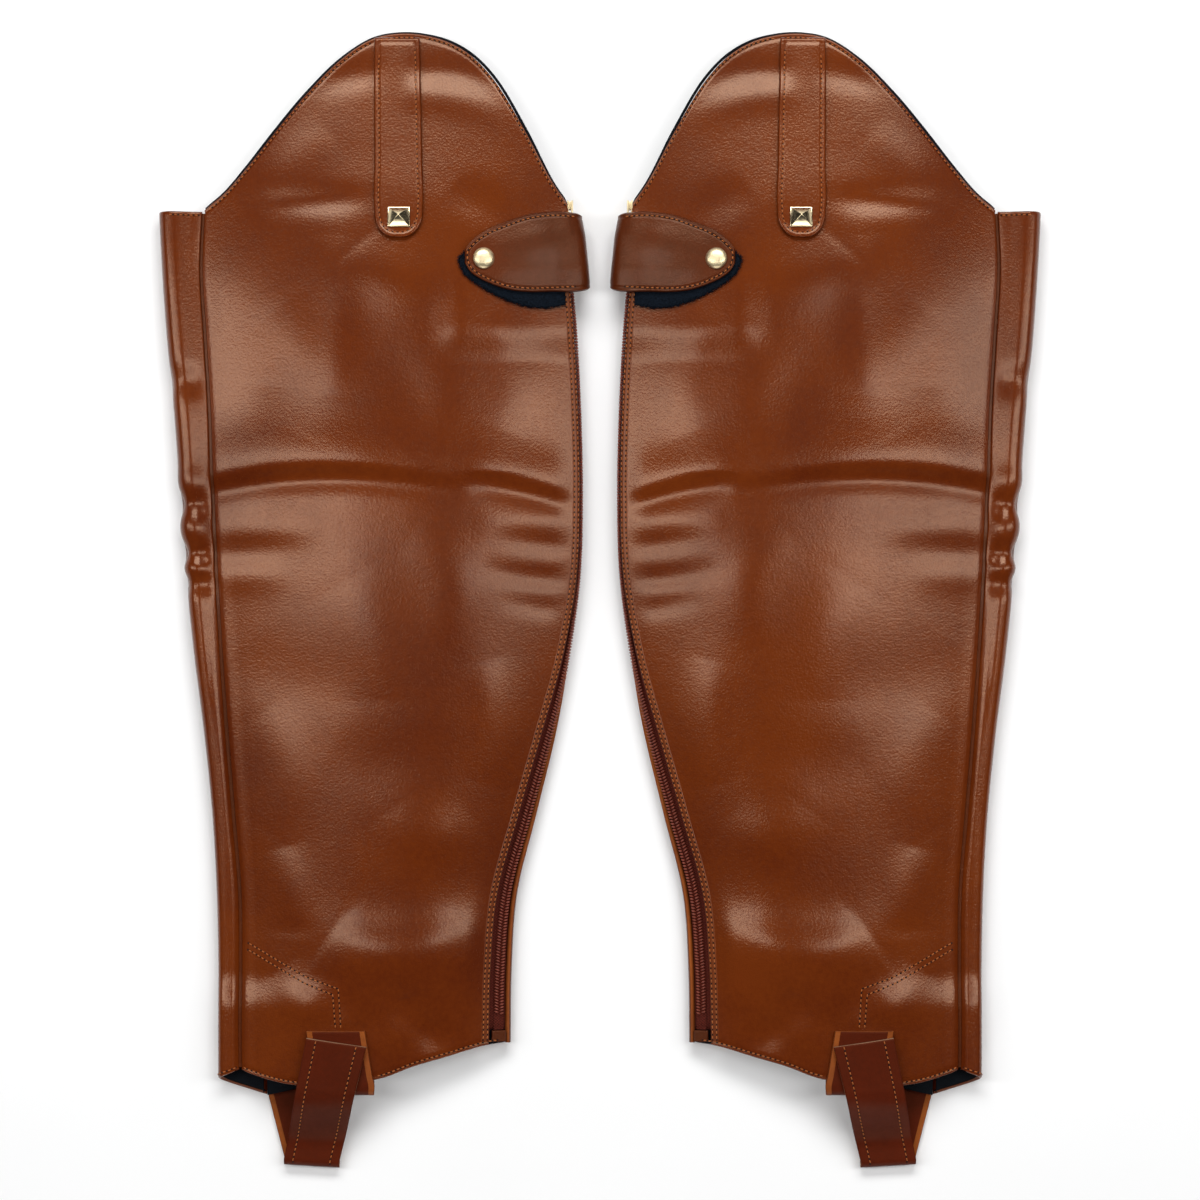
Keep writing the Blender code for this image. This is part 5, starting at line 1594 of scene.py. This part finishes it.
class GAITERS_OT_stage(bpy.types.Operator):
    """Make the floor, the soft lights and the camera above"""

    bl_idname = "gaiters.stage"
    bl_label = "Stage"

    def execute(self, context):
        mesh = bmesh.new()
        bmesh.ops.create_grid(mesh, x_segments=2, y_segments=2, size=FLOOR_HALF)
        bmesh.ops.translate(mesh, vec=(0, 0, -FLOOR_DROP), verts=mesh.verts)
        data = bpy.data.meshes.new("studio_floor")
        mesh.to_mesh(data)
        mesh.free()
        data.materials.append(finish("studio_floor"))
        floor = bpy.data.objects.new("studio_floor", data)
        context.scene.collection.objects.link(floor)
        floor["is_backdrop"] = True
        world = bpy.data.worlds.new("studio")
        world.use_nodes = True
        background = world.node_tree.nodes["Background"]
        connect(world.node_tree, background, {"Color": (1, 1, 1, 1), "Strength": WORLD_LIGHT})
        context.scene.world = world
        context.scene.view_settings.view_transform = "Standard"
        for name, place, size, watts in LIGHTS:
            lamp = bpy.data.lights.new(name, "AREA")
            lamp.shape = "RECTANGLE"
            lamp.size, lamp.size_y = size
            lamp.energy = watts
            made = bpy.data.objects.new(name, lamp)
            made.location = place
            made.rotation_euler = (-Vector(place)).to_track_quat("-Z", "Y").to_euler()
            context.scene.collection.objects.link(made)
        camera = bpy.data.cameras.new("photo_camera")
        camera.lens = CAMERA_LENS
        camera.sensor_width = CAMERA_SENSOR
        made = bpy.data.objects.new("photo_camera", camera)
        made.location = (0, VIEW_CENTRE_Y, VIEW_LEVEL + VIEW_WIDE * CAMERA_LENS / CAMERA_SENSOR)
        context.scene.collection.objects.link(made)
        context.scene.camera = made
        return {"FINISHED"}


PIECE_OPERATORS = (
    GAITERS_OT_outer_panels,
    GAITERS_OT_front_bands,
    GAITERS_OT_inner_panels,
    GAITERS_OT_zips,
    GAITERS_OT_top_straps,
    GAITERS_OT_foot_straps,
    GAITERS_OT_stitching,
    GAITERS_OT_stage,
)


class GAITERS_PT_panel(bpy.types.Panel):
    """Sizes, colours and the steps that make the gaiters"""

    bl_label = "Gaiters"
    bl_idname = "GAITERS_PT_panel"
    bl_space_type = "VIEW_3D"
    bl_region_type = "UI"
    bl_category = "Gaiters"

    def draw(self, context):
        for group in (context.scene.gaiter_sizes, context.scene.gaiter_colours):
            box = self.layout.box()
            for key in group.__annotations__:
                box.prop(group, key)
        for operator in PIECE_OPERATORS:
            self.layout.operator(operator.bl_idname)


CLASSES = (GaiterSizes, GaiterColours, *PIECE_OPERATORS, GAITERS_PT_panel)


def register():
    for cls in CLASSES:
        bpy.utils.register_class(cls)
    bpy.types.Scene.gaiter_sizes = PointerProperty(type=GaiterSizes)
    bpy.types.Scene.gaiter_colours = PointerProperty(type=GaiterColours)


def unregister():
    del bpy.types.Scene.gaiter_colours
    del bpy.types.Scene.gaiter_sizes
    for cls in reversed(CLASSES):
        bpy.utils.unregister_class(cls)


def main():
    register()
    for operator in PIECE_OPERATORS:
        group, name = operator.bl_idname.split(".")
        getattr(getattr(bpy.ops, group), name)()
    bpy.context.view_layer.update()
    boxes = {"cad": packed_box, "visual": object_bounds()}
    {key: [list(corner) for corner in box] for key, box in boxes.items()}


if __name__ == "__main__":
    main()
